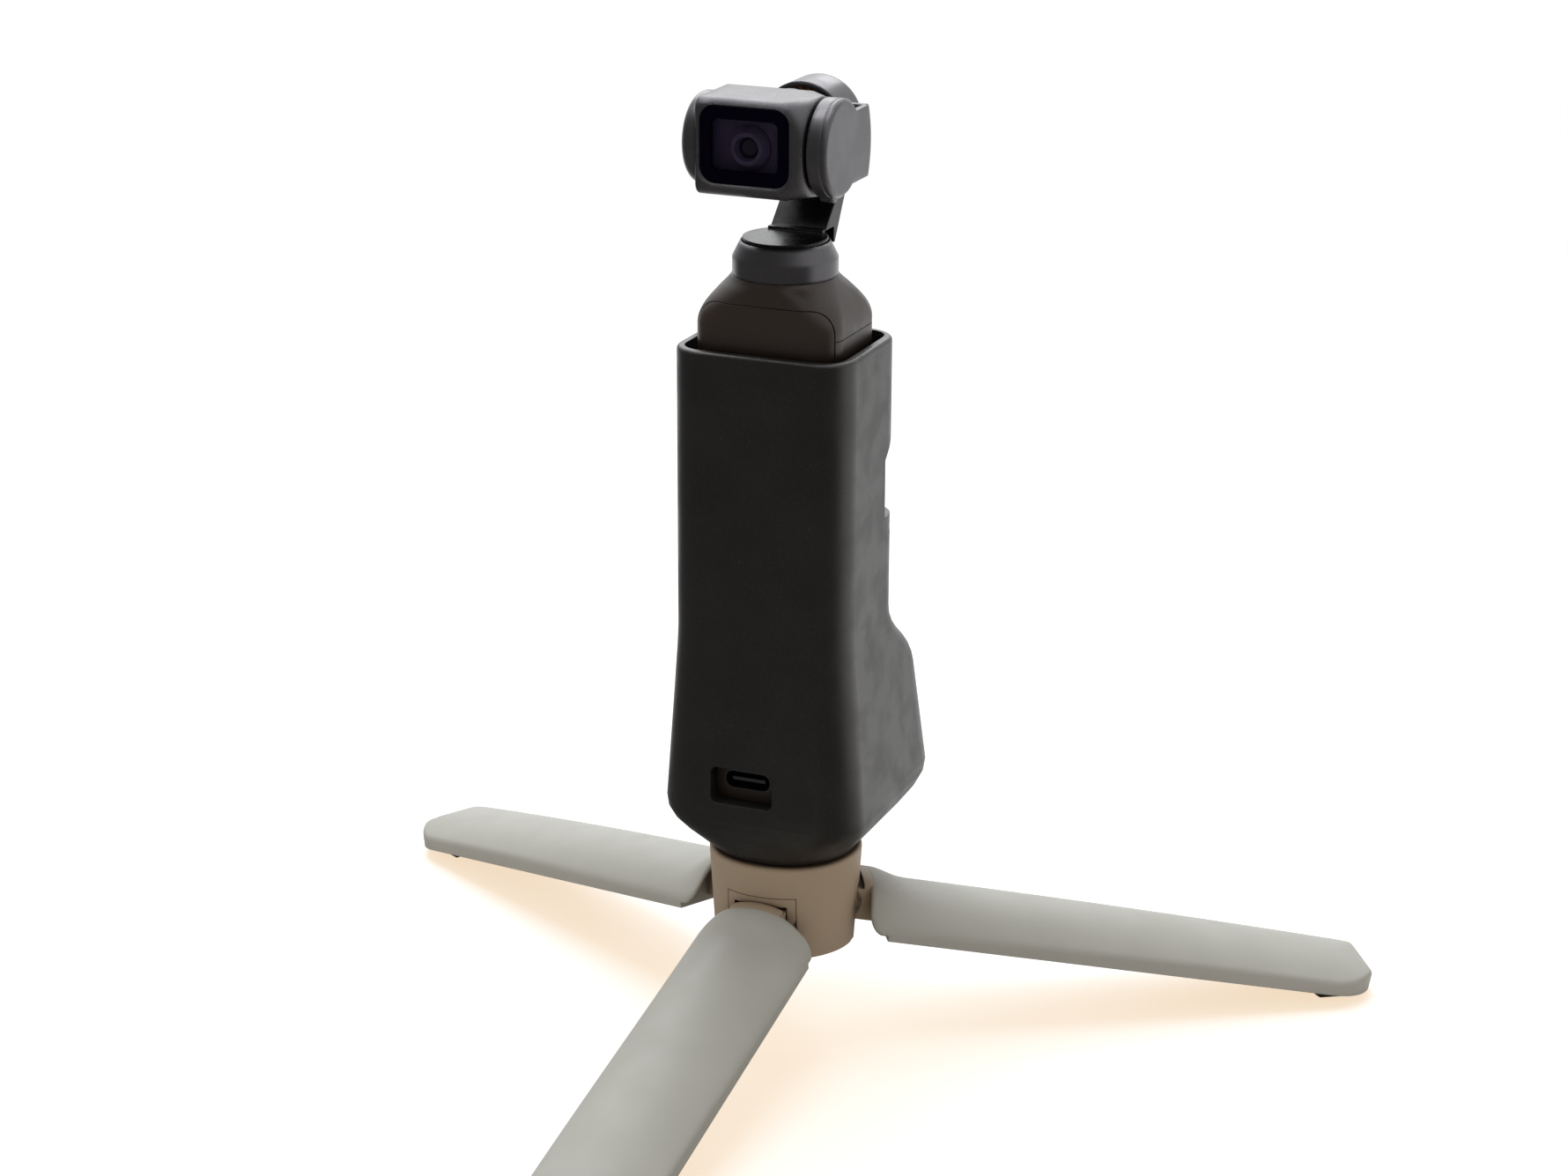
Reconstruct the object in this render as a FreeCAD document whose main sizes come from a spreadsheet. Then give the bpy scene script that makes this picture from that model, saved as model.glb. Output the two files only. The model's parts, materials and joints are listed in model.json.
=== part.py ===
import FreeCAD, Part
import math
import os
import Sketcher
from FreeCAD import Placement, Rotation, Vector

# Pocket gimbal camera with its base module, in a printed sleeve on a folding mini tripod.
# The origin is on the floor under the axis that the camera's head pans about.
# The lens looks along -Y and +Z is up.

doc = FreeCAD.newDocument("PocketGimbalCamera")
sheet = doc.addObject("Spreadsheet::Sheet", "sizes")

# Two lengths or volumes that differ by less are one, and a blend takes at most this share of a step.
SAME = 1e-6
LONGEST_REACH = 0.45

# Driving sizes, in millimetres and degrees
DRIVING_SIZES = {
    # Tripod hub and its three hinges
    "tripod_back": 1.5,
    "tripod_turn": 1.5,
    "hub_floor": 19.0,
    "hub_height": 19.2,
    "hub_radius": 14.85,
    "hub_foot_radius": 13.7,
    "hub_rounding": 0.8,
    "bracket_width": 13.8,
    "bracket_back": 6.4,
    "bracket_height": 12.6,
    "bracket_lift": 0.2,
    "bracket_roof": 1.7,
    "bracket_web": 0.9,
    "bracket_fit": 0.1,
    "pivot_radius": 11.0,
    "pivot_height": 26.5,
    "pin_radius": 1.5,
    "pin_fit": 0.05,
    "pin_seat_fit": 0.02,
    # Tripod legs
    "leg_slope": 11.0,
    "leg_length": 110.5,
    "leg_width": 23.6,
    "leg_crown": 3.5,
    "leg_bow": 2.7,
    "leg_tip_radius": 26.0,
    "leg_drop": 7.9,
    "leg_root": 8.2,
    "leg_root_corner": 6.0,
    "leg_tip_corner": 10.5,
    "leg_tip_rounding": 4.5,
    "leg_wall": 1.6,
    "neck_width": 10.3,
    "neck_radius": 3.2,
    "lip_rise": 1.5,
    "lip_gap": 0.3,
    "lip_flat": 1.7,
    "lip_run": 3.6,
    "pad_depth": 1.4,
    "pad_fit": 0.1,
    "bump_pitch": 14.7,
    "bump_rise": 1.3,
    "bump_width": 17.0,
    "bump_start": 12.5,
    "foot_rise": 3.5,
    "foot_width": 12.0,
    "foot_length": 11.0,
    "foot_inset": 1.4,
    # Tripod screw and the threaded insert in the sleeve
    "screw_radius": 3.1,
    "screw_reach": 5.2,
    "screw_head_radius": 4.8,
    "screw_head_height": 3.0,
    "screw_seat": 4.4,
    "screw_slot_width": 1.2,
    "screw_slot_depth": 1.4,
    "screw_fit": 0.075,
    "insert_radius": 4.2,
    "insert_length": 5.6,
    # Printed sleeve
    "cone_radius": 13.4,
    "cone_height": 8.3,
    "bulge_half_width": 20.3,
    "bulge_front": 15.8,
    "bulge_back": 31.2,
    "bulge_corner": 7.5,
    "bulge_height": 27.5,
    "waist_half_width": 18.3,
    "waist_front": 15.1,
    "waist_back": 26.2,
    "waist_corner": 7.0,
    "flare_height": 9.0,
    "sleeve_wall": 2.9,
    "sleeve_gap": 0.4,
    "sleeve_top": 138.7,
    "sleeve_rounding": 0.8,
    "sleeve_easing": 3.2,
    "sleeve_floor": 6.1,
    "screen_cut_rise": 0.7,
    "screen_cut_height": 11.3,
    "screen_cut_depth": 8.1,
    "button_cut_width": 21.0,
    "button_cut_height": 11.5,
    "cut_corner": 2.0,
    "cord_hole_radius": 1.1,
    "cord_hole_drop": 3.1,
    "cord_hole_back": 4.6,
    "port_cut_left": 8.4,
    "port_cut_width": 12.6,
    "port_cut_height": 7.3,
    "port_cut_low": 51.1,
    "port_cut_corner": 1.3,
    # Base module under the camera's grip
    "base_height": 21.7,
    "base_half_width": 15.4,
    "base_front": 12.2,
    "base_back": 22.8,
    "base_corner": 5.2,
    "base_wall": 1.8,
    "base_rounding": 1.0,
    "socket_width": 8.94,
    "socket_height": 3.26,
    "socket_depth": 7.3,
    "socket_wall": 0.3,
    "socket_x": -2.15,
    "socket_z": 55.1,
    "tongue_thickness": 0.7,
    "tongue_width": 6.7,
    "plug_reach": 6.0,
    "plug_fit": 0.08,
    "board_thickness": 1.0,
    # Camera grip
    "grip_width": 28.6,
    "grip_depth": 23.2,
    "grip_corner": 5.0,
    "grip_wall": 1.8,
    "grip_length": 75.7,
    "end_cap_height": 2.0,
    "cap_skirt": 1.0,
    "shoulder_rise": 8.6,
    "shoulder_draw": 2.6,
    "neck_ring_radius": 9.9,
    "panel_width": 27.0,
    "panel_depth": 2.6,
    "panel_crown": 5.5,
    "panel_corner": 4.5,
    "seam": 0.12,
    "screen_width": 18.4,
    "screen_height": 21.0,
    "screen_rise": 1.5,
    "screen_corner": 1.5,
    "glass_thickness": 0.9,
    "screen_border": 1.5,
    "button_radius": 3.6,
    "button_spread": 5.4,
    "button_height": 93.3,
    "button_proud": 0.5,
    "button_fit": 0.1,
    "button_flange": 0.8,
    "button_stroke": 0.4,
    "port_cover_width": 11.0,
    "port_cover_height": 3.2,
    "port_cover_rise": 2.0,
    "port_cover_thickness": 0.8,
    "battery_width": 20.0,
    "battery_depth": 9.0,
    "battery_length": 44.0,
    "main_board_width": 22.0,
    "main_board_length": 62.0,
    # Pan motor
    "pan_radius": 9.8,
    "pan_wall_height": 3.3,
    "pan_bevel_height": 3.0,
    "pan_bevel": 1.5,
    "pan_wall": 1.5,
    "pan_floor": 1.1,
    "plate_radius": 7.9,
    "plate_thickness": 1.4,
    "plate_proud": 0.6,
    "shaft_radius": 1.5,
    "shaft_fit": 0.06,
    "rotor_gap": 0.25,
    # Yaw arm and roll motor
    "axis_lift": 18.75,
    "roll_offset": 1.3,
    "roll_drop": 0.6,
    "arm_width": 10.9,
    "arm_front": 6.0,
    "arm_thickness": 4.2,
    "arm_rise": 5.0,
    "arm_overhang": 3.0,
    "roll_front": 11.0,
    "roll_radius": 8.4,
    "roll_length": 8.8,
    "roll_wall": 1.0,
    "roll_cover": 0.8,
    "roll_plate_radius": 8.0,
    "roll_rotor_radius": 6.8,
    # Roll arm and tilt motor
    "tilt_forward": 7.3,
    "tilt_radius": 8.9,
    "head_half_width": 14.3,
    "strap_half_height": 6.45,
    "strap_drop": 0.7,
    "strap_bow": 17.0,
    "arm_plate": 1.2,
    "back_plate_front": 4.5,
    "back_plate": 1.3,
    "tilt_wall": 1.1,
    "tilt_gap": 0.8,
    "tilt_edge": 0.6,
    "tilt_boss": 1.7,
    # Camera head
    "housing_left": 11.0,
    "housing_right": 9.85,
    "housing_half": 8.85,
    "housing_front_corner": 2.2,
    "housing_back_corner": 4.0,
    "housing_blend": 4.0,
    "housing_side_rounding": 0.5,
    "housing_wall": 1.3,
    "end_cap_radius": 8.5,
    "end_cap_rounding": 2.0,
    "window_width": 17.3,
    "window_height": 14.0,
    "window_lift": 0.65,
    "window_corner": 3.0,
    "window_thickness": 0.9,
    "window_recess": 0.2,
    "lens_offset": 1.4,
    "lens_radius": 4.2,
    "lens_hood_radius": 2.3,
    "lens_glass_radius": 1.9,
    "lens_length": 7.0,
    "sensor_width": 9.0,
    "sensor_thickness": 1.2,
}
for row, (alias, value) in enumerate(DRIVING_SIZES.items(), start=1):
    sheet.set("A%d" % row, alias)
    sheet.set("B%d" % row, str(value))
    sheet.setAlias("B%d" % row, alias)
doc.recompute()


class Size:
    """A number together with the expression on the sheet that gives it."""

    def __init__(self, value, text):
        self.value = value
        self.text = text

    def __add__(self, other):
        other = as_size(other)
        return Size(self.value + other.value, "(%s + %s)" % (self.text, other.text))

    def __sub__(self, other):
        other = as_size(other)
        return Size(self.value - other.value, "(%s - %s)" % (self.text, other.text))

    def __mul__(self, other):
        other = as_size(other)
        return Size(self.value * other.value, "(%s * %s)" % (self.text, other.text))

    def __truediv__(self, other):
        other = as_size(other)
        return Size(self.value / other.value, "(%s / %s)" % (self.text, other.text))

    def __neg__(self):
        return Size(-self.value, "(0 - %s)" % self.text)

    __radd__ = __add__
    __rmul__ = __mul__

    def __rsub__(self, other):
        return as_size(other) - self


def as_size(amount):
    """Plain numbers become sizes that depend on nothing."""
    if isinstance(amount, Size):
        return amount
    return Size(float(amount), repr(float(amount)))


class Sheet:
    """The sheet's aliases as attributes."""

    def __getattr__(self, alias):
        return Size(float(sheet.get(alias)), "sizes." + alias)


def root_of(amount):
    """Square root, kept as an expression."""
    return Size(math.sqrt(amount.value), "sqrt(%s)" % amount.text)


def cosine(angle):
    """Cosine of an angle in degrees, kept as an expression."""
    angle = as_size(angle)
    return Size(math.cos(math.radians(angle.value)), "cos(%s * 1 deg)" % angle.text)


def sine(angle):
    """Sine of an angle in degrees, kept as an expression."""
    angle = as_size(angle)
    return Size(math.sin(math.radians(angle.value)), "sin(%s * 1 deg)" % angle.text)


def bind(thing, path, amount):
    """Tie one property of an object to the sheet."""
    thing.setExpression(path, as_size(amount).text)


def place(thing, x=0, y=0, z=0, turn=None):
    """Set where an object stands, with its three distances tied to the sheet."""
    thing.Placement = Placement(Vector(), turn or Rotation())
    bind(thing, "Placement.Base.x", x)
    bind(thing, "Placement.Base.y", y)
    bind(thing, "Placement.Base.z", z)
    return thing


# Sketches and features of a body

def new_body(label):
    """An empty body with its label."""
    body = doc.addObject("PartDesign::Body", label)
    body.Label = label
    return body


def sketch_on(body, role, height=0):
    """An empty sketch on one of the body's own planes, moved along its normal."""
    sketch = body.newObject("Sketcher::SketchObject", body.Label + "_outline")
    plane = next(item for item in body.Origin.OriginFeatures if item.Role == role)
    sketch.AttachmentSupport = [(plane, "")]
    sketch.MapMode = "FlatFace"
    bind(sketch, "AttachmentOffset.Base.z", height)
    return sketch


def hold(sketch, kind, geometry, point, amount):
    """Hold one point's distance from the sketch's origin, tied to the sheet."""
    amount = as_size(amount)
    number = sketch.addConstraint(Sketcher.Constraint(kind, -1, 1, geometry, point, amount.value))
    bind(sketch, "Constraints[%d]" % number, amount)


def hold_radius(sketch, geometry, radius):
    """Hold a radius, tied to the sheet."""
    number = sketch.addConstraint(Sketcher.Constraint("Radius", geometry, radius.value))
    bind(sketch, "Constraints[%d]" % number, radius)


def arc_between(start, end, radius):
    """The short arc from start to end; a negative radius runs clockwise."""
    chord = end - start
    left = Vector(-chord.y, chord.x, 0).normalize()
    lift = math.sqrt(max(radius ** 2 - (chord.Length / 2) ** 2, 0))
    centre = (start + end) * 0.5 + left * math.copysign(lift, radius)
    first, last = (start, end) if radius > 0 else (end, start)
    begin = math.atan2(first.y - centre.y, first.x - centre.x)
    finish = math.atan2(last.y - centre.y, last.x - centre.x)
    if finish <= begin:
        finish += 2 * math.pi
    return Part.ArcOfCircle(Part.Circle(centre, Vector(0, 0, 1), abs(radius)), begin, finish)


def draw(sketch, corners, arcs=None):
    """Closed outline through corners; arcs gives the radius of each edge that is one."""
    arcs = arcs or {}
    points = [Vector(as_size(x).value, as_size(y).value, 0) for x, y in corners]
    ends = []
    for number, start in enumerate(points):
        end = points[(number + 1) % len(points)]
        if number in arcs:
            geometry = sketch.addGeometry(arc_between(start, end, arcs[number].value))
            forward = arcs[number].value > 0
        else:
            geometry = sketch.addGeometry(Part.LineSegment(start, end))
            forward = True
        ends.append((geometry, 1, 2) if forward else (geometry, 2, 1))
    for number, (x, y) in enumerate(corners):
        before, here = ends[number - 1], ends[number]
        sketch.addConstraint(Sketcher.Constraint("Coincident", before[0], before[2], here[0], here[1]))
        hold(sketch, "DistanceX", here[0], here[1], x)
        hold(sketch, "DistanceY", here[0], here[1], y)
    for number, radius in arcs.items():
        hold_radius(sketch, ends[number][0], radius if radius.value > 0 else -radius)
    return sketch


def draw_rounded(sketch, left, right, low, high, corner):
    """Rectangle with four equal rounded corners."""
    corners = [
        (left + corner, low), (right - corner, low), (right, low + corner), (right, high - corner),
        (right - corner, high), (left + corner, high), (left, high - corner), (left, low + corner),
    ]
    return draw(sketch, corners, {1: corner, 3: corner, 5: corner, 7: corner})


def draw_box(sketch, left, right, low, high):
    """Rectangle with sharp corners."""
    return draw(sketch, [(left, low), (right, low), (right, high), (left, high)])


def draw_ring(sketch, x, y, radius):
    """Full circle."""
    circle = Part.Circle(Vector(as_size(x).value, as_size(y).value, 0), Vector(0, 0, 1), radius.value)
    geometry = sketch.addGeometry(circle)
    hold(sketch, "DistanceX", geometry, 3, x)
    hold(sketch, "DistanceY", geometry, 3, y)
    hold_radius(sketch, geometry, radius)
    return sketch


def volume_of(body):
    """Volume of a body as it is now, or none while it is empty."""
    doc.recompute()
    return 0 if body.Shape.isNull() else body.Shape.Volume


def grow(body, kind, sketch, length, backward):
    """One pad or pocket, which has to add or remove something."""
    before = volume_of(body)
    feature = body.newObject("PartDesign::" + kind, body.Label + "_" + kind.lower())
    feature.Profile = sketch
    feature.Reversed = backward
    bind(feature, "Length", length)
    sketch.Visibility = False
    change = volume_of(body) - before
    if (change > 0) != (kind == "Pad") or abs(change) < SAME:
        raise RuntimeError("%s of %s points the wrong way" % (kind, body.Label))
    return feature


def pad(body, sketch, length, backward=False):
    """Material along the sketch's normal."""
    return grow(body, "Pad", sketch, length, backward)


def pocket(body, sketch, length, backward=False):
    """Material removed against the sketch's normal."""
    return grow(body, "Pocket", sketch, length, backward)


def round_edges(body, chosen, radius, kind="Fillet"):
    """Fillet or chamfer on the edges of the body that the test picks."""
    doc.recompute()
    base = body.Tip
    names = ["Edge%d" % number for number, edge in enumerate(base.Shape.Edges, 1) if chosen(edge)]
    if not names:
        raise RuntimeError("no edge to round on " + body.Label)
    feature = body.newObject("PartDesign::" + kind, body.Label + "_" + kind.lower())
    feature.Base = (base, names)
    bind(feature, "Radius" if kind == "Fillet" else "Size", radius)
    return feature


def stack(body, sections, straight):
    """One solid through several sketches, with straight or smooth sides."""
    feature = body.newObject("PartDesign::AdditiveLoft", body.Label + "_loft")
    feature.Profile = sections[0]
    feature.Sections = sections[1:]
    feature.Ruled = straight
    return feature


def turned(label, profile, arcs=None):
    """A body turned about Z from half of its section, given as radius and height."""
    body = new_body(label)
    sketch = draw(sketch_on(body, "XZ_Plane"), profile, arcs)
    feature = body.newObject("PartDesign::Revolution", label + "_turned")
    feature.Profile = sketch
    feature.ReferenceAxis = (sketch, ["V_Axis"])
    feature.Angle = 360
    return body


def tube(label, outer, inner, low, high):
    """A turned ring."""
    return turned(label, [(inner, low), (outer, low), (outer, high), (inner, high)])


def disc(label, radius, low, high):
    """A turned disc."""
    return turned(label, [(0, low), (radius, low), (radius, high), (0, high)])


def rounded_block(label, left, right, front, back, low, height, corner):
    """A block with rounded upright edges."""
    body = new_body(label)
    pad(body, draw_rounded(sketch_on(body, "XY_Plane", low), left, right, front, back, corner), height)
    return body


def at_height(level):
    """A test for edges that lie wholly at one height."""
    return lambda edge: abs(edge.BoundBox.ZMin - level.value) < SAME and edge.BoundBox.ZLength < SAME


# Booleans of whole objects

def box(name, left, right, front, back, low, high):
    """A plain block between six distances."""
    block = doc.addObject("Part::Box", name)
    bind(block, "Length", right - left)
    bind(block, "Width", back - front)
    bind(block, "Height", high - low)
    return place(block, left, front, low)


def rod(name, radius, length, x=0, y=0, z=0, turn=None):
    """A plain cylinder."""
    cylinder = doc.addObject("Part::Cylinder", name)
    bind(cylinder, "Radius", radius)
    bind(cylinder, "Height", length)
    return place(cylinder, x, y, z, turn)


def cut(name, base, *tools):
    """Base without the tools."""
    tool = tools[0] if len(tools) == 1 else joined(name + "_tools", *tools)
    result = doc.addObject("Part::Cut", name)
    result.Base = base
    result.Tool = tool
    return result


def joined(name, *pieces):
    """Pieces made into one."""
    result = doc.addObject("Part::MultiFuse", name)
    result.Shapes = list(pieces)
    return result


def shared(name, *pieces):
    """What the pieces have in common."""
    result = doc.addObject("Part::MultiCommon", name)
    result.Shapes = list(pieces)
    return result


def group(name, *pieces):
    """Pieces kept apart under one name."""
    result = doc.addObject("Part::Compound", name)
    result.Links = list(pieces)
    return result


# Sections and lofts for the moulded forms

def rounded_loop(left, right, low, high, radii, placement):
    """Four sides and four quarter arcs; radii run from the low left corner, anticlockwise."""
    first, second, third, fourth = radii
    centres = [
        (left + first, low + first, first, 180), (right - second, low + second, second, 270),
        (right - third, high - third, third, 0), (left + fourth, high - fourth, fourth, 90),
    ]
    edges = []
    for number, (x, y, radius, start) in enumerate(centres):
        angles = [math.radians(start + step) for step in (0, 45, 90)]
        points = [Vector(x + radius * math.cos(angle), y + radius * math.sin(angle), 0) for angle in angles]
        if edges:
            edges.append(Part.makeLine(edges[-1].lastVertex().Point, points[0]))
        edges.append(Part.Arc(*points).toShape())
    edges.append(Part.makeLine(edges[-1].lastVertex().Point, edges[0].firstVertex().Point))
    loop = Part.Wire(edges)
    loop.Placement = placement
    return loop


def level_loop(half_width, front, back, corner, height):
    """A rounded rectangle lying flat at one height."""
    return rounded_loop(-half_width, half_width, -front, back, [corner] * 4,
                        Placement(Vector(0, 0, height), Rotation()))


def eased(sections, reach):
    """Sections of a stack with each inner one replaced by a short curve through four."""
    result = [sections[0]]
    for before, here, after in zip(sections, sections[1:], sections[2:]):
        back = min(reach / (here[-1] - before[-1]), LONGEST_REACH)
        onward = min(reach / (after[-1] - here[-1]), LONGEST_REACH)
        for share in (0, 1 / 3, 2 / 3, 1):
            weights = ((1 - share) ** 2 * back, share ** 2 * onward)
            result.append(tuple(
                mid + (low - mid) * weights[0] + (high - mid) * weights[1]
                for low, mid, high in zip(before, here, after)))
    return result + [sections[-1]]


def solid_feature(name, shape):
    """A document object that holds one shape."""
    feature = doc.addObject("Part::Feature", name)
    feature.Shape = shape
    feature.Placement = Placement()
    return feature


d = Sheet()
FLAT_SHARE = 0.03
ALONG_X = Rotation(Vector(0, 1, 0), 90)
ALONG_LEFT = Rotation(Vector(0, 1, 0), -90)
ALONG_BACK = Rotation(Vector(1, 0, 0), -90)
ALONG_FRONT = Rotation(Vector(1, 0, 0), 90)
UPWARD = Vector(0, 0, 1)
BEYOND = 1.2
PAST_WALL = 1.5
SCREW_POINT = 0.2
BOARD_CORNER = 0.4
CARD_TOP = 1.7
CARD_CORNER = 0.3
COIL_SLOT = 0.3
ARM_CLEAR = 1.5
ARM_SWELL = 1.2
SADDLE_FIT = 0.1
LENS_THROAT = 0.6
LENS_BULGE = 0.3
PORT_ROUNDNESS = 0.9
LIP_SHARE = 0.65
LEG_STATIONS = (0, 0.3, 0.65, 1)
LEG_DIRECTIONS = (-90, 30, 150)
BUMPS = 6
COILS = 9
SHOULDER_STEPS = 6

hub_top = d.hub_floor + d.hub_height
bulge_low = hub_top + d.cone_height
waist = bulge_low + d.bulge_height
sleeve_low = waist + d.flare_height
base_low = hub_top + d.sleeve_floor
grip_low = base_low + d.base_height
shell_low = grip_low + d.end_cap_height
shell_top = grip_low + d.grip_length
shoulder_low = shell_top + d.cap_skirt
grip_top = shoulder_low + d.shoulder_rise
pan_top = grip_top + d.pan_wall_height + d.pan_bevel_height
plate_top = pan_top + d.plate_proud
axis_height = plate_top + d.axis_lift
roll_height = axis_height - d.roll_drop
port_cover_low = d.button_height + d.button_radius + d.port_cover_rise
screen_low = port_cover_low + d.port_cover_height + d.screen_rise
screen_cut_low = screen_low + d.screen_cut_rise
cord_hole_height = screen_cut_low - d.cord_hole_drop
grip_half_width = d.grip_width / 2
grip_half_depth = d.grip_depth / 2

nodes = {}


def keep(name, thing):
    """Register a finished sub-part under the name of its file."""
    thing.Label = name
    nodes[name] = thing
    return thing


# Tripod hub: a tapered drum with three hinge slots and a bore for the screw

def build_hub():
    """Hub turned in one piece, its slots repeated about the axis."""
    bore = d.screw_radius + d.screw_fit * 4
    seat = hub_top - d.screw_seat
    head_bore = d.screw_head_radius + d.screw_fit * 4
    body = turned("tripod_hub", [
        (bore, hub_top), (bore, seat), (head_bore, seat), (head_bore, d.hub_floor),
        (d.hub_foot_radius, d.hub_floor), (d.hub_radius, hub_top),
    ])
    slot = draw_box(
        sketch_on(body, "XY_Plane", d.hub_floor),
        -(d.bracket_width / 2 + d.bracket_fit), d.bracket_width / 2 + d.bracket_fit,
        -(d.hub_radius * BEYOND), -(d.bracket_back - d.bracket_fit),
    )
    cutter = pocket(body, slot, d.bracket_lift + d.bracket_height + d.bracket_fit, True)
    pattern = body.newObject("PartDesign::PolarPattern", "tripod_hub_slots")
    pattern.Originals = [cutter]
    pattern.Axis = (slot, ["N_Axis"])
    pattern.Angle = 360
    pattern.Occurrences = 3
    body.Tip = pattern
    rim = d.hub_radius.value
    round_edges(body, lambda edge: at_height(hub_top)(edge) and edge.BoundBox.XLength > rim, d.hub_rounding)
    keep("tripod_hub", place(body, y=d.tripod_back, turn=Rotation(UPWARD, d.tripod_turn.value)))


def build_screw():
    """Screw that clamps the sleeve to the hub, with a coin slot in its head."""
    seat = hub_top - d.screw_seat
    head_low = seat - d.screw_head_height
    body = turned("tripod_screw", [
        (0, head_low), (d.screw_head_radius, head_low), (d.screw_head_radius, seat),
        (d.screw_radius, seat), (d.screw_radius, hub_top + d.screw_reach - d.screw_radius * SCREW_POINT),
        (d.screw_radius * (1 - SCREW_POINT), hub_top + d.screw_reach), (0, hub_top + d.screw_reach),
    ])
    slot = draw_box(
        sketch_on(body, "XY_Plane", head_low),
        -(d.screw_head_radius * BEYOND), d.screw_head_radius * BEYOND,
        -(d.screw_slot_width / 2), d.screw_slot_width / 2,
    )
    pocket(body, slot, d.screw_slot_depth, True)
    keep("tripod_screw", place(body, y=d.tripod_back))


def build_bracket(name, azimuth):
    """Fork that carries one leg, let into the hub and flush with its taper."""
    low = d.hub_floor + d.bracket_lift
    half = d.bracket_width / 2
    inner = d.neck_width / 2 + d.bracket_fit * 2
    body = new_body(name + "_block")
    outline = draw_box(sketch_on(body, "XY_Plane", low), -half, half, -d.hub_radius, -d.bracket_back)
    pad(body, outline, d.bracket_height)
    opening = draw_box(
        sketch_on(body, "XY_Plane", low), -inner, inner,
        -(d.hub_radius * BEYOND), -(d.bracket_back + d.bracket_web),
    )
    pocket(body, opening, d.bracket_height - d.bracket_roof, True)
    bore = draw_ring(sketch_on(body, "YZ_Plane", -half), -d.pivot_radius, d.pivot_height,
                     d.pin_radius + d.pin_seat_fit)
    pocket(body, bore, d.bracket_width, True)
    taper = doc.addObject("Part::Cone", name + "_taper")
    bind(taper, "Radius1", d.hub_foot_radius)
    bind(taper, "Radius2", d.hub_radius)
    bind(taper, "Height", d.hub_height)
    place(taper, z=d.hub_floor)
    flush = shared(name + "_flush", body, taper)
    result = group(name, flush)
    place(result, y=d.tripod_back, turn=Rotation(UPWARD, azimuth.value + 90))
    keep(name, result)


def build_pin(name, azimuth):
    """Hinge pin across the fork."""
    length = d.bracket_width - d.bracket_fit * 2
    pin = rod(name + "_rod", d.pin_radius, length, -(length / 2), -d.pivot_radius, d.pivot_height, ALONG_X)
    result = group(name, pin)
    place(result, y=d.tripod_back, turn=Rotation(UPWARD, azimuth.value + 90))
    keep(name, result)


# Tripod legs, each drawn lying along X from its pivot, with its crown upward

def plan_body(name, inset, low, high):
    """The leg's outline seen from above, drawn in by inset on every side."""
    half = d.leg_width / 2 - inset
    root, tip = d.leg_root + inset, d.leg_length - inset
    near, far = d.leg_root_corner - inset, d.leg_tip_corner - inset
    corners = [
        (root + near, -half), (tip - far, -half), (tip, far - half), (tip, half - far),
        (tip - far, half), (root + near, half), (root, half - near), (root, near - half),
    ]
    body = new_body(name)
    pad(body, draw(sketch_on(body, "XY_Plane", low), corners, {1: far, 3: far, 5: near, 7: near}), high - low)
    return body


def build_leg_form():
    """Crowned bar that sinks and flattens towards its tip, held within its plan and its rounded nose."""
    half = d.leg_width / 2
    low = d.leg_crown - d.leg_drop
    root, tip, rounding = d.leg_root, d.leg_length, d.leg_tip_rounding
    bar = new_body("leg_bar_form")
    sections = []
    for share in LEG_STATIONS:
        crown = d.leg_crown - d.leg_bow * (share * share)
        radius = d.hub_radius + (d.leg_tip_radius - d.hub_radius) * (share * share)
        side = crown - radius + root_of(radius * radius - half * half)
        outline = [(-half, low), (half, low), (half, side), (-half, side)]
        sections.append(draw(sketch_on(bar, "YZ_Plane", root + (tip - root) * share), outline, {2: radius}))
    stack(bar, sections, False)
    plan = plan_body("leg_plan", as_size(0), low, d.leg_crown)
    side = new_body("leg_side")
    nose = (tip - rounding - root) / (tip - root)
    nose_top = d.leg_crown - d.leg_bow * nose * nose
    outline = draw(
        sketch_on(side, "XZ_Plane", -half),
        [(root, low), (tip, low), (tip, nose_top - rounding), (tip - rounding, nose_top),
         (tip - rounding * 3, d.leg_crown), (root, d.leg_crown)],
        {2: rounding},
    )
    pad(side, outline, d.leg_width)
    return shared("leg_form", bar, plan, side)


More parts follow.
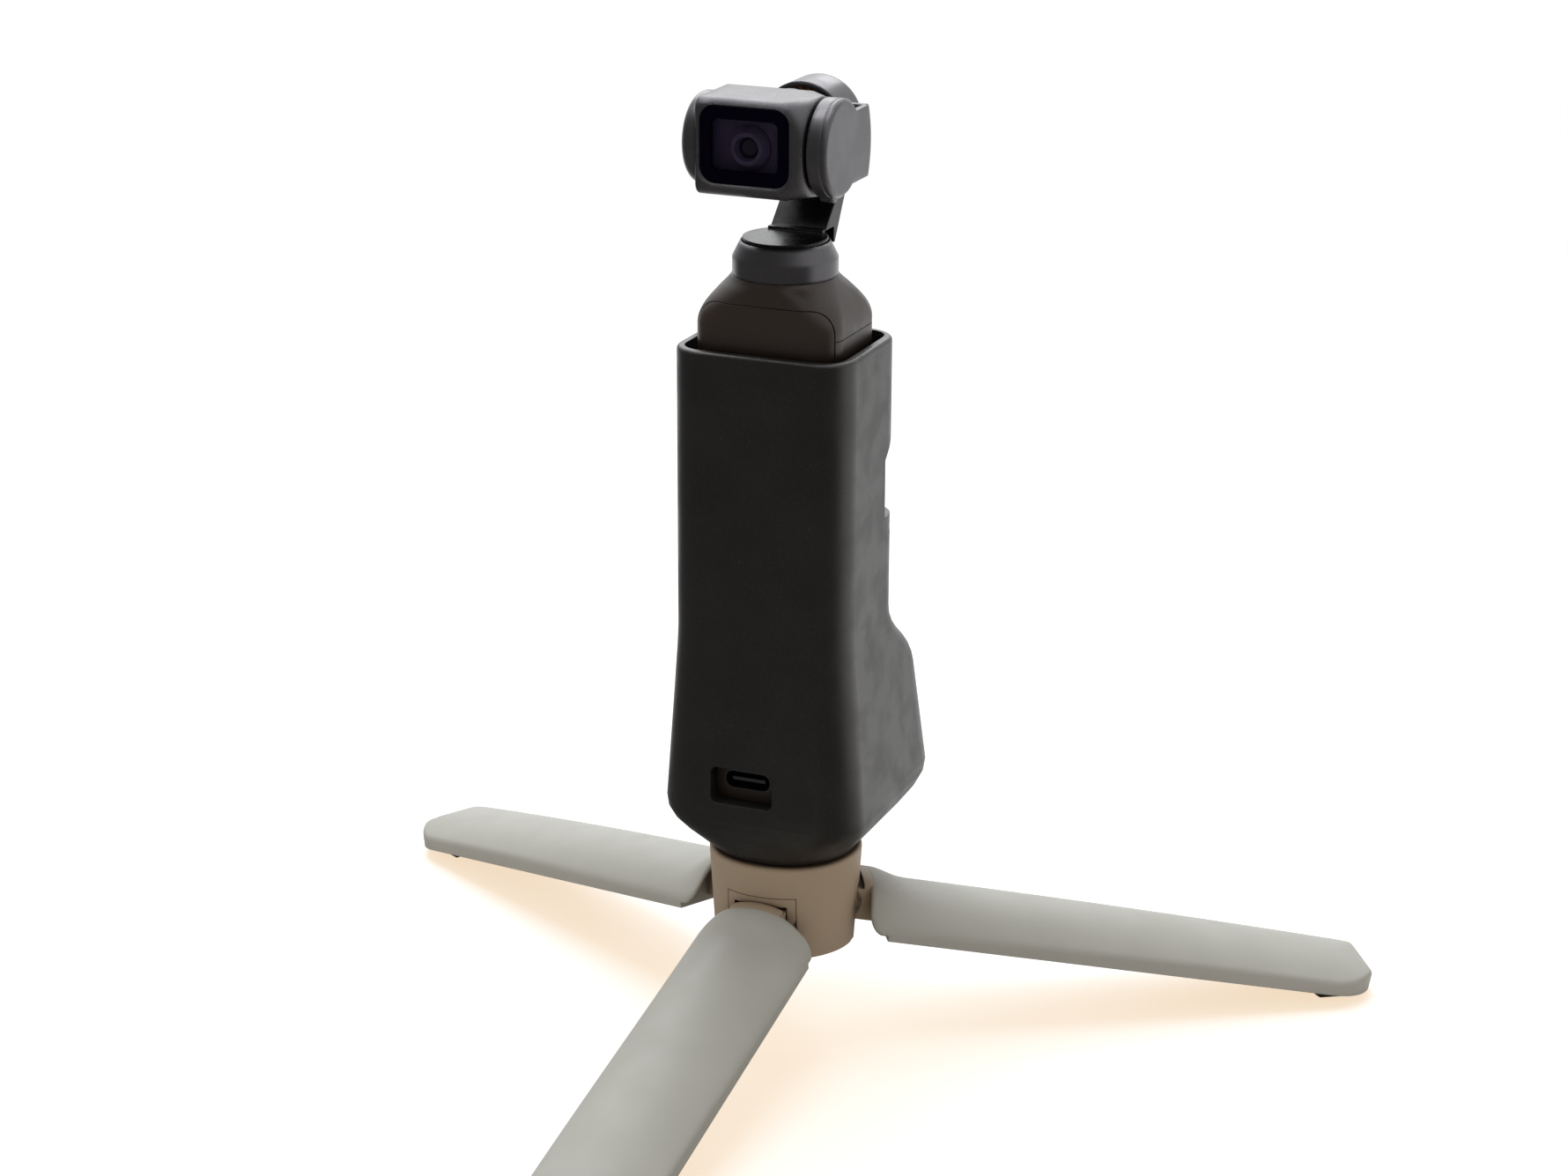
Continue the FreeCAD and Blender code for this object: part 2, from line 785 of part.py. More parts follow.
def build_leg_neck():
    """Knuckle on the pin, and a crowned lip that stops against the hub when the leg is open."""
    reach, half = d.neck_radius, d.neck_width / 2
    wall_at_lip = d.hub_foot_radius + (d.hub_radius - d.hub_foot_radius) * LIP_SHARE
    stop = (wall_at_lip + d.lip_gap - d.pivot_radius) / cosine(d.leg_slope)
    lean = sine(d.leg_slope) / cosine(d.leg_slope)
    lip_top = d.leg_crown + d.lip_rise
    far = d.leg_root + d.lip_run
    corners = [
        (0, -reach), (d.leg_root + d.leg_wall, -reach), (d.leg_root + d.leg_wall, 0), (far, 0),
        (far, lip_top), (stop - lip_top * lean, lip_top), (stop - reach * lean, reach),
        (0, reach), (-reach, 0),
    ]
    body = new_body("leg_neck_side")
    pad(body, draw(sketch_on(body, "XZ_Plane", -half), corners, {7: reach, 8: reach}), d.neck_width)
    bore = draw_ring(sketch_on(body, "XZ_Plane", -half), 0, 0, d.pin_radius + d.pin_fit)
    pocket(body, bore, d.neck_width, True)
    crown = new_body("leg_neck_crown")
    fall = d.hub_radius - root_of(d.hub_radius * d.hub_radius - half * half)
    sections = []
    for x, top in ((-reach, lip_top), (stop + d.lip_flat, lip_top), (far, d.leg_crown - d.lip_gap / 2)):
        outline = [(-half, -reach), (half, -reach), (half, top - fall), (-half, top - fall)]
        sections.append(draw(sketch_on(crown, "YZ_Plane", x), outline, {2: d.hub_radius}))
    stack(crown, sections, True)
    return shared("leg_neck", body, crown)


def build_leg_pad():
    """Rubber tread with a row of bumps and a deeper one at the tip, where the leg stands."""
    low = d.leg_crown - d.leg_drop
    base = plan_body("pad_base", d.leg_wall + d.pad_fit, low, low + d.pad_depth)
    bumps = new_body("pad_bumps")
    count = BUMPS
    radius = d.bump_pitch * d.bump_pitch / (8 * d.bump_rise) + d.bump_rise / 2
    corners = [(d.bump_start + d.bump_pitch * step, low) for step in range(count + 1)]
    end = d.bump_start + d.bump_pitch * count
    corners += [(end, low + d.pad_depth / 2), (d.bump_start, low + d.pad_depth / 2)]
    outline = draw(sketch_on(bumps, "XZ_Plane", -(d.bump_width / 2)), corners,
                   {step: radius for step in range(count)})
    pad(bumps, outline, d.bump_width)
    foot = new_body("pad_foot")
    radius = d.foot_length * d.foot_length / (8 * d.foot_rise) + d.foot_rise / 2
    far = d.leg_length - d.leg_wall - d.pad_fit - d.foot_inset
    near = far - d.foot_length
    corners = [(near, low), (far, low), (far, low + d.pad_depth / 2), (near, low + d.pad_depth / 2)]
    pad(foot, draw(sketch_on(foot, "XZ_Plane", -(d.foot_width / 2)), corners, {0: radius}), d.foot_width)
    return joined("pad_form", base, bumps, foot)


def build_legs():
    """Three equal legs about the hub, each with its tread cut flat where it stands."""
    low = d.leg_crown - d.leg_drop
    recess = plan_body("pad_recess", d.leg_wall, low, low + d.pad_depth)
    bar = cut("leg_bar", build_leg_form(), recess)
    leg = joined("leg_whole", bar, build_leg_neck())
    tread = build_leg_pad()
    reach = d.leg_length + d.hub_radius
    floor = box("floor_under_feet", -reach, reach, -reach, reach, -d.leg_drop, as_size(0))
    for letter, direction in zip("abc", LEG_DIRECTIONS):
        azimuth = d.tripod_turn + direction
        build_bracket("hinge_bracket_" + letter, azimuth)
        build_pin("hinge_pin_" + letter, azimuth)
        turn = Rotation(UPWARD, azimuth.value).multiply(Rotation(Vector(0, 1, 0), d.leg_slope.value))
        x = d.pivot_radius * cosine(azimuth)
        y = d.tripod_back + d.pivot_radius * sine(azimuth)
        shell = group("leg_shell_" + letter, leg)
        place(shell, x, y, d.pivot_height, turn)
        keep("leg_shell_" + letter, shell)
        placed = group("tread_" + letter, tread)
        place(placed, x, y, d.pivot_height, turn)
        keep("leg_pad_" + letter, cut("leg_pad_" + letter, placed, floor))


# Printed sleeve

def build_sleeve():
    """Lofted sleeve: cone, bulge round the module, flare and straight grip, then its openings."""
    gap, wall = d.sleeve_gap.value, d.sleeve_wall.value
    half = d.grip_width.value / 2 + gap + wall
    deep = d.grip_depth.value / 2 + gap + wall
    corner = d.grip_corner.value + (gap + wall) * 0.5
    cone, back = d.cone_radius.value, d.tripod_back.value
    bulge = (d.bulge_half_width, d.bulge_front, d.bulge_back, d.bulge_corner, bulge_low)
    narrow = (d.waist_half_width, d.waist_front, d.waist_back, d.waist_corner, waist)
    outline = [
        (cone, cone - back, cone + back, cone * (1 - FLAT_SHARE), hub_top.value),
        tuple(size.value for size in bulge),
        tuple(size.value for size in narrow),
        (half, deep, deep, corner, sleeve_low.value),
        (half, deep, deep, corner, d.sleeve_top.value),
    ]
    loops = [level_loop(*section) for section in eased(outline, d.sleeve_easing.value)]
    pieces = [Part.makeLoft([low, high], True, True) for low, high in zip(loops, loops[1:])]
    body = pieces[0].fuse(pieces[1:]).removeSplitter()
    top = [edge for edge in body.Edges if at_height(d.sleeve_top)(edge)]
    body = body.makeFillet(d.sleeve_rounding.value, top)
    return solid_feature("sleeve_form", body)


def build_sleeve_cuts():
    """What the sleeve leaves open: the two cavities, the screen, the buttons, the port and a cord hole."""
    gap = d.sleeve_gap
    deep = grip_half_depth + gap + d.sleeve_wall
    outside = deep + d.sleeve_wall
    side = grip_half_width + gap + d.sleeve_wall * 2
    grip = rounded_block("sleeve_grip_cavity", -(grip_half_width + gap), grip_half_width + gap,
                         -(grip_half_depth + gap), grip_half_depth + gap, base_low,
                         d.sleeve_top - base_low + gap, d.grip_corner + gap)
    module = rounded_block("sleeve_module_cavity", -(d.base_half_width + gap), d.base_half_width + gap,
                           -(d.base_front + gap), d.base_back + gap, base_low, d.base_height + gap,
                           d.base_corner + gap)
    screen = new_body("sleeve_screen_cut")
    near = deep - d.screen_cut_depth
    corners = [
        (near, screen_cut_low), (outside, screen_cut_low),
        (outside, screen_cut_low + d.screen_cut_height + d.screen_cut_depth + d.sleeve_wall),
        (near, screen_cut_low + d.screen_cut_height),
    ]
    pad(screen, draw(sketch_on(screen, "YZ_Plane", -side), corners), side * 2)
    buttons = new_body("sleeve_button_cut")
    outline = draw_rounded(
        sketch_on(buttons, "XZ_Plane", -outside), -(d.button_cut_width / 2), d.button_cut_width / 2,
        d.button_height - d.button_cut_height / 2, d.button_height + d.button_cut_height / 2, d.cut_corner,
    )
    pad(buttons, outline, outside - grip_half_depth)
    port = new_body("sleeve_port_cut")
    outline = draw_rounded(
        sketch_on(port, "XZ_Plane", d.base_front), -d.port_cut_left, d.port_cut_width - d.port_cut_left,
        d.port_cut_low, d.port_cut_low + d.port_cut_height, d.port_cut_corner,
    )
    pad(port, outline, d.sleeve_wall * 3)
    cord = rod("sleeve_cord_hole", d.cord_hole_radius, side - grip_half_width, grip_half_width,
               deep - d.cord_hole_back, cord_hole_height, ALONG_X)
    insert = rod("sleeve_insert_hole", d.insert_radius, d.sleeve_floor * 2, y=d.tripod_back,
                 z=hub_top - d.sleeve_floor)
    return [grip, module, screen, buttons, port, cord, insert]


def build_insert():
    """Threaded brass insert in the sleeve's floor."""
    inner = d.screw_radius + d.screw_fit
    body = tube("case_thread_insert", d.insert_radius, inner, hub_top, hub_top + d.insert_length)
    keep("case_thread_insert", place(body, y=d.tripod_back))


# Base module under the grip

def build_module():
    """Closed module with a port in front, a board inside and a plug up into the grip."""
    left, right = -d.base_half_width, d.base_half_width
    body = rounded_block("base_shell", left, right, -d.base_front, d.base_back, base_low, d.base_height,
                         d.base_corner)
    round_edges(body, lambda edge: at_height(base_low)(edge), d.base_rounding)
    wall = d.base_wall
    hollow = draw_rounded(
        sketch_on(body, "XY_Plane", base_low + wall), left + wall, right - wall,
        wall - d.base_front, d.base_back - wall, d.base_corner - wall,
    )
    pocket(body, hollow, d.base_height - wall * 2, True)
    port_half = d.socket_width / 2 + d.socket_wall
    port_rise = d.socket_height / 2 + d.socket_wall
    port = draw_rounded(
        sketch_on(body, "XZ_Plane", d.base_front), d.socket_x - port_half, d.socket_x + port_half,
        d.socket_z - port_rise, d.socket_z + port_rise, port_rise * PORT_ROUNDNESS,
    )
    pocket(body, port, wall)
    plug_half = d.socket_width / 2 - d.plug_fit
    plug_rise = d.socket_height / 2 - d.plug_fit
    plug = draw_rounded(sketch_on(body, "XY_Plane", grip_low), -plug_half, plug_half, -plug_rise, plug_rise,
                        plug_rise * PORT_ROUNDNESS)
    pocket(body, plug, wall)
    keep("base_shell", body)
    keep("base_socket", socket_body("base_socket", ALONG_BACK, d.socket_x, -d.base_front, d.socket_z))
    board = rounded_block(
        "base_board", left + wall * 2, right - wall * 2, d.socket_depth - d.base_front + d.sleeve_gap,
        d.base_back - wall * 2, base_low + wall, d.board_thickness, d.board_thickness,
    )
    keep("base_board", board)
    plug_low = grip_low - wall
    tip = new_body("base_plug")
    outline = draw_rounded(sketch_on(tip, "XY_Plane", plug_low - d.board_thickness), -plug_half, plug_half,
                           -plug_rise, plug_rise, plug_rise * PORT_ROUNDNESS)
    pad(tip, outline, wall + d.board_thickness + d.plug_reach)
    slot_half, slot_rise = d.tongue_width / 2 + d.plug_fit, d.tongue_thickness / 2 + d.plug_fit
    slot = draw_box(sketch_on(tip, "XY_Plane", grip_low + d.plug_reach), -slot_half, slot_half,
                    -slot_rise, slot_rise)
    pocket(tip, slot, d.plug_reach)
    keep("base_plug", tip)


def socket_body(name, turn, x, y, z):
    """Port shell with its tongue, drawn with its mouth at the origin and its depth along Z."""
    body = new_body(name)
    half, rise, wall = d.socket_width / 2, d.socket_height / 2, d.socket_wall
    outline = draw_rounded(sketch_on(body, "XY_Plane"), -half - wall, half + wall, -rise - wall, rise + wall,
                           (rise + wall) * PORT_ROUNDNESS)
    pad(body, outline, d.socket_depth)
    mouth = draw_rounded(sketch_on(body, "XY_Plane"), -half, half, -rise, rise, rise * PORT_ROUNDNESS)
    pocket(body, mouth, d.socket_depth - wall * 2, True)
    tongue = draw_box(sketch_on(body, "XY_Plane", wall * 2), -(d.tongue_width / 2), d.tongue_width / 2,
                      -(d.tongue_thickness / 2), d.tongue_thickness / 2)
    pad(body, tongue, d.socket_depth - wall * 3)
    place(body, x, y, z, turn)
    return body


# Camera grip: shell, shoulder, front panel and what they hold

def build_grip_form():
    """Outer form of the grip: a rounded bar whose shoulder draws in to the neck along an ellipse."""
    half, deep = grip_half_width.value, grip_half_depth.value
    corner, neck = d.grip_corner.value, d.neck_ring_radius.value
    low, rise = shoulder_low.value, d.shoulder_rise.value
    bar = [level_loop(half, deep, deep, corner, level) for level in (shell_low.value, low)]
    shoulder = []
    for step in range(SHOULDER_STEPS + 1):
        angle = math.pi / 2 * step / SHOULDER_STEPS
        share, height = max(math.cos(angle), 0) ** d.shoulder_draw.value, math.sin(angle)
        radius = neck * (1 - FLAT_SHARE)
        shoulder.append(level_loop(
            neck + (half - neck) * share, neck + (deep - neck) * share, neck + (deep - neck) * share,
            radius + (corner - radius) * share, low + rise * height))
    form = Part.makeLoft(bar, True, True).fuse(Part.makeLoft(shoulder, True, False))
    return solid_feature("grip_form", form.removeSplitter())


def front_opening(name, spread):
    """Region of the front panel, with its arched top; spread widens it by the seam."""
    half = d.panel_width / 2 + spread
    corner = d.panel_corner + spread
    top = shell_top + d.panel_crown + spread
    near = grip_half_depth - d.panel_depth - spread
    body = new_body(name)
    corners = [(-half, shell_low), (half, shell_low), (half, top - corner), (half - corner, top),
               (corner - half, top), (-half, top - corner)]
    pad(body, draw(sketch_on(body, "XZ_Plane", near), corners, {2: corner, 4: corner}), d.grip_depth)
    return body


def build_grip():
    """Shell, shoulder cap and front panel cut from the same form."""
    form = build_grip_form()
    wall = d.grip_wall
    reach = d.grip_width
    hollow = rounded_block("grip_hollow", wall - grip_half_width, grip_half_width - wall,
                           wall - grip_half_depth, grip_half_depth - wall, shell_low,
                           d.grip_length - d.end_cap_height, d.grip_corner - wall)
    below = box("below_seam", -reach, reach, -reach, reach, grip_low, shell_top - d.seam)
    above = box("above_seam", -reach, reach, -reach, reach, shell_top, grip_top * BEYOND)
    region = front_opening("front_region", as_size(0))
    panel = cut("grip_panel", shared("grip_panel_block", form, region), hollow)
    keep("lens_side_panel", panel)
    opening = front_opening("front_region_wide", d.seam)
    keep("shoulder_cap", cut("shoulder_cap", shared("grip_above", form, above), opening))
    glass_half = d.screen_width / 2 + d.seam
    glass_low = screen_low - d.seam
    glass_high = screen_low + d.screen_height + d.seam
    back = -grip_half_depth
    screen = new_body("screen_recess")
    recess = draw_rounded(sketch_on(screen, "XZ_Plane", back), -glass_half, glass_half, glass_low, glass_high,
                          d.screen_corner + d.seam)
    pad(screen, recess, d.glass_thickness)
    border = d.screen_border
    window = draw_box(sketch_on(screen, "XZ_Plane", back), border - glass_half, glass_half - border,
                      glass_low + border, glass_high - border)
    pad(screen, window, wall * PAST_WALL)
    cover = new_body("port_recess")
    half = d.port_cover_width / 2 + d.seam
    recess = draw_box(sketch_on(cover, "XZ_Plane", back), -half, half, port_cover_low - d.seam,
                      port_cover_low + d.port_cover_height + d.seam)
    pad(cover, recess, d.port_cover_thickness)
    bore = d.button_radius + d.button_fit
    inside = grip_half_depth - wall * PAST_WALL
    bores = [rod("button_bore_" + side, bore, wall * 2, x, inside, d.button_height, ALONG_BACK)
             for side, x in (("left", -d.button_spread), ("right", d.button_spread))]
    shell = cut("handle_shell", shared("grip_below", form, below), hollow, opening, screen, cover, *bores)
    keep("handle_shell", shell)


def build_end_cap():
    """Bottom of the grip, with the way in for the plug and two small screws up into the shell."""
    body = rounded_block("handle_end_cap", -grip_half_width, grip_half_width, -grip_half_depth,
                         grip_half_depth, grip_low, d.end_cap_height, d.grip_corner)
    half = d.socket_width / 2 + d.socket_wall
    rise = d.socket_height / 2 + d.socket_wall
    port = draw_rounded(sketch_on(body, "XY_Plane", grip_low), -half, half, -rise, rise,
                        rise * PORT_ROUNDNESS)
    pocket(body, port, d.end_cap_height, True)
    keep("handle_end_cap", body)
    keep("handle_socket", socket_body("handle_socket", Rotation(), 0, 0, grip_low))


def build_inner_parts():
    """Battery, main board and memory card inside the grip."""
    inner = grip_half_depth - d.grip_wall
    low = shell_low + d.socket_depth
    battery = rounded_block("battery", -(d.battery_width / 2), d.battery_width / 2, -inner,
                            d.battery_depth - inner, low, d.battery_length, d.board_thickness)
    keep("battery", battery)
    front = d.battery_depth - inner
    board = rounded_block("main_board", -(d.main_board_width / 2), d.main_board_width / 2, front,
                          front + d.board_thickness, low, d.main_board_length,
                          d.board_thickness * BOARD_CORNER)
    keep("main_board", board)
    card = rounded_block("memory_card", -(d.main_board_width / 2), -(d.main_board_width / 4),
                         front + d.board_thickness, front + d.board_thickness * CARD_TOP,
                         low + d.battery_length / 2, d.battery_length / 3, d.board_thickness * CARD_CORNER)
    keep("memory_card", card)


def build_screen():
    """Touch glass flush with the back of the grip and the display behind it."""
    glass_back = -grip_half_depth
    glass = new_body("screen_glass")
    half = d.screen_width / 2
    outline = draw_rounded(sketch_on(glass, "XZ_Plane", glass_back), -half, half, screen_low,
                           screen_low + d.screen_height, d.screen_corner)
    pad(glass, outline, d.glass_thickness)
    keep("screen_glass", glass)
    display = new_body("screen_display")
    border = d.screen_border + d.seam
    outline = draw_box(sketch_on(display, "XZ_Plane", glass_back + d.glass_thickness), border - half,
                       half - border, screen_low + border, screen_low + d.screen_height - border)
    pad(display, outline, d.glass_thickness)
    keep("screen_display", display)
    cover = new_body("accessory_port_cover")
    half = d.port_cover_width / 2
    outline = draw_box(sketch_on(cover, "XZ_Plane", glass_back), -half, half, port_cover_low,
                       port_cover_low + d.port_cover_height)
    pad(cover, outline, d.port_cover_thickness)
    keep("accessory_port_cover", cover)


def build_button(name, x):
    """Button with a flange behind the wall; its face stands proud by more than its stroke."""
    wall_inside = d.grip_wall + d.button_proud + d.button_fit
    body = turned(name, [
        (0, 0), (d.button_radius - d.button_fit, 0), (d.button_radius, d.button_fit),
        (d.button_radius, wall_inside), (d.button_radius + d.button_flange, wall_inside),
        (d.button_radius + d.button_flange, wall_inside + d.button_flange),
        (0, wall_inside + d.button_flange),
    ])
    place(body, x, grip_half_depth + d.button_proud, d.button_height, ALONG_FRONT)
    keep(name, body)


# Pan motor and the arm that it turns

def build_pan_motor():
    """Fixed cup with a bevelled rim, its ring of coils, and the turning plate's rotor and shaft."""
    outer, inner = d.pan_radius, d.plate_radius + d.rotor_gap
    floor = grip_top + d.pan_floor
    wall_top = grip_top + d.pan_wall_height
    keep("pan_motor_housing", turned("pan_motor_housing", [
        (0, grip_top), (outer, grip_top), (outer, wall_top), (outer - d.pan_bevel, pan_top),
        (inner, pan_top), (inner, floor), (0, floor),
    ]))
    plate_low = plate_top - d.plate_thickness
    rotor_low = plate_low - d.plate_thickness
    coils_top = rotor_low - d.rotor_gap
    keep("pan_motor_coils", coil_ring("pan_motor_coils", inner - d.rotor_gap, floor, coils_top))
    keep("pan_rotor", turned("pan_rotor", [
        (0, floor + d.rotor_gap), (d.shaft_radius, floor + d.rotor_gap), (d.shaft_radius, rotor_low),
        (d.plate_radius - d.rotor_gap, rotor_low), (d.plate_radius - d.rotor_gap, plate_low), (0, plate_low),
    ]))


def coil_ring(name, outer, low, high):
    """Ring of coils with a bearing bore, parted by slots repeated about the axis."""
    body = tube(name, outer, d.shaft_radius + d.shaft_fit, low, high)
    width = d.shaft_radius * COIL_SLOT
    slot = draw_box(sketch_on(body, "XY_Plane", high), -width, width, d.shaft_radius * 2, outer * BEYOND)
    cutter = pocket(body, slot, (high - low) / 2)
    pattern = body.newObject("PartDesign::PolarPattern", name + "_slots")
    pattern.Originals = [cutter]
    pattern.Axis = (slot, ["N_Axis"])
    pattern.Angle = 360
    pattern.Occurrences = COILS
    body.Tip = pattern
    return body


def build_yaw_arm():
    """Turning plate with a leaning arm that overhangs the pan motor and cradles the roll motor."""
    plate = disc("yaw_plate", d.plate_radius, plate_top - d.plate_thickness, plate_top)
    left = -(d.arm_width / 2)
    foot = plate_top + d.rotor_gap
    round_foot = rod("yaw_foot_round", d.plate_radius, d.plate_thickness + d.rotor_gap * 2,
                     z=plate_top - d.plate_thickness)
    block = box("yaw_foot_block", left, left + d.arm_width, d.arm_front - d.arm_thickness / 3, d.plate_radius,
                plate_top - d.plate_thickness, foot + d.rotor_gap)
    arm = new_body("yaw_upright")
    saddle = roll_height - d.roll_radius / 2
    clear = d.pan_radius + d.rotor_gap * ARM_CLEAR
    front = d.roll_front + d.rotor_gap
    corners = [
        (d.arm_front, foot), (clear, foot), (clear, foot - d.arm_overhang),
        (clear + d.rotor_gap * 2, foot - d.arm_overhang), (front + d.arm_thickness, foot + d.arm_rise),
        (front + d.arm_thickness * ARM_SWELL, saddle), (front, saddle), (front, foot + d.arm_rise),
    ]
    pad(arm, draw(sketch_on(arm, "YZ_Plane", left), corners), d.arm_width)
    seat = rod("yaw_saddle", d.roll_radius + d.rotor_gap * SADDLE_FIT, d.roll_length * 2, -d.roll_offset,
               d.roll_front - d.roll_wall, roll_height, ALONG_BACK)
    upright = cut("yaw_upright_saddled", arm, seat)
    keep("yaw_arm", joined("yaw_arm", plate, shared("yaw_foot", round_foot, block), upright))


def build_roll_motor():
    """Cup, cover, coils and rotor of the roll motor, lying along Y behind the head."""
    front, back = d.roll_front, d.roll_front + d.roll_length
    inner = d.roll_radius - d.roll_wall
    x, z = -d.roll_offset, roll_height
    cup = turned("roll_motor_housing", [
        (inner, front), (d.roll_radius, front), (d.roll_radius, back), (inner, back),
    ])
    keep("roll_motor_housing", place(cup, x, 0, z, ALONG_BACK))
    cover = turned("roll_motor_cover", [
        (0, back - d.roll_cover), (inner, back - d.roll_cover), (inner, back),
        (d.roll_radius, back), (d.roll_radius - d.roll_cover, back + d.roll_cover), (0, back + d.roll_cover),
    ])
    keep("roll_motor_cover", place(cover, x, 0, z, ALONG_BACK))
    coils_front = back - d.roll_cover - d.roll_length / 2
    coils = coil_ring("roll_motor_coils", inner, coils_front, back - d.roll_cover)
    keep("roll_motor_coils", place(coils, x, 0, z, ALONG_BACK))
    face = d.back_plate_front + d.back_plate
    end = back - d.roll_cover - d.rotor_gap
    rotor = turned("roll_rotor", [
        (0, face), (d.roll_rotor_radius, face), (d.roll_rotor_radius, front - d.rotor_gap),
        (d.shaft_radius, front - d.rotor_gap), (d.shaft_radius, end), (0, end),
    ])
    keep("roll_rotor", place(rotor, x, 0, z, ALONG_BACK))


# Roll arm, tilt motor and camera head, drawn at their places

def build_roll_arm():
    """Bracket with a disc round the tilt axis, a strap back and a plate across to the roll motor."""
    outer = d.head_half_width
    inner = outer - d.arm_plate
    z, y = axis_height, -d.tilt_forward
    face = new_body("roll_arm_disc")
    outline = draw_ring(sketch_on(face, "YZ_Plane", inner), y, z, d.tilt_radius)
    pad(face, outline, d.arm_plate)
    round_edges(face, lambda edge: abs(edge.BoundBox.XMin - outer.value) < SAME, d.tilt_edge, "Chamfer")
    back = d.back_plate_front + d.back_plate
    low, high = z - d.strap_drop - d.strap_half_height, z - d.strap_drop + d.strap_half_height
    bow = d.strap_bow - root_of(d.strap_bow * d.strap_bow - d.strap_half_height * d.strap_half_height)
    strap = new_body("roll_arm_strap")
    corners = [(y, low), (back - bow, low), (back - bow, high), (y, high)]
    outline = draw(sketch_on(strap, "YZ_Plane", inner), corners, {1: d.strap_bow})
    pad(strap, outline, d.arm_plate)
    plate = new_body("roll_arm_plate")
    radius = d.roll_plate_radius
    centre, level = -d.roll_offset, roll_height
    at_low = centre + root_of(radius * radius - (level - low) * (level - low))
    at_high = centre + root_of(radius * radius - (high - level) * (high - level))
    end = inner + d.arm_plate / 2
    corners = [
        (end, low), (end, high), (at_high, high), (centre, level + radius), (centre - radius, level),
        (centre, level - radius), (at_low, low),
    ]
    outline = draw(sketch_on(plate, "XZ_Plane", -back), corners, {2: radius, 3: radius, 4: radius, 5: radius})
    pad(plate, outline, d.back_plate)
    keep("roll_arm", joined("roll_arm", face, strap, plate))


def build_tilt_motor():
    """Cup with a small boss under it on the roll arm, its coils, and the rotor fixed to the head."""
    x_face = d.head_half_width - d.arm_plate
    low = d.housing_right + d.tilt_gap
    z, y = axis_height, -d.tilt_forward
    inner = d.tilt_radius - d.tilt_wall
    round_cup = rod("tilt_cup_round", d.tilt_radius, x_face - low, low, y, z, ALONG_X)
    boss = rod("tilt_cup_boss", d.tilt_boss, x_face - low, low, y - d.tilt_boss / 2,
               z - d.tilt_radius + d.tilt_boss / 2, ALONG_X)
    bore = rod("tilt_cup_bore", inner, x_face - low, low, y, z, ALONG_X)
    keep("tilt_motor_housing", cut("tilt_motor_housing", joined("tilt_cup", round_cup, boss), bore))
    coils_low = (low + x_face) / 2
    coils = coil_ring("tilt_motor_coils", inner, coils_low, x_face)
    keep("tilt_motor_coils", place(coils, 0, y, z, ALONG_X))
    disc_high = coils_low - d.rotor_gap
    rotor = turned("tilt_rotor", [
        (0, d.housing_right), (inner - d.rotor_gap, d.housing_right), (inner - d.rotor_gap, disc_high),
        (d.shaft_radius, disc_high), (d.shaft_radius, x_face - d.rotor_gap), (0, x_face - d.rotor_gap),
    ])
    keep("tilt_rotor", place(rotor, 0, y, z, ALONG_X))


def build_housing_form():
    """Head with crisp front edges and rounder back ones, its right end drawn out to a round."""
    half = d.housing_half.value
    front, back = d.housing_front_corner.value, d.housing_back_corner.value
    frame = (Vector(0, 1, 0), Vector(0, 0, 1), Vector(1, 0, 0))
    centre_y, centre_z = -d.tilt_forward.value, axis_height.value

    def loop(x, radii):
        return rounded_loop(centre_y - half, centre_y + half, centre_z - half, centre_z + half, radii,
                            Placement(Vector(x, 0, 0), Rotation(*frame)))

    square = [front, back, back, front]
    round_end = [half * (1 - FLAT_SHARE)] * 4
    blend = d.housing_right.value - d.housing_blend.value
    loops = [loop(-d.housing_left.value, square), loop(blend, square), loop(d.housing_right.value, round_end)]
    form = Part.makeLoft(loops[:2], True, True).fuse(Part.makeLoft(loops[1:], True, True)).removeSplitter()
    left = [edge for edge in form.Edges
            if edge.BoundBox.XLength < SAME and abs(edge.BoundBox.XMin + d.housing_left.value) < SAME]
    return solid_feature("housing_form", form.makeFillet(d.housing_side_rounding.value, left))


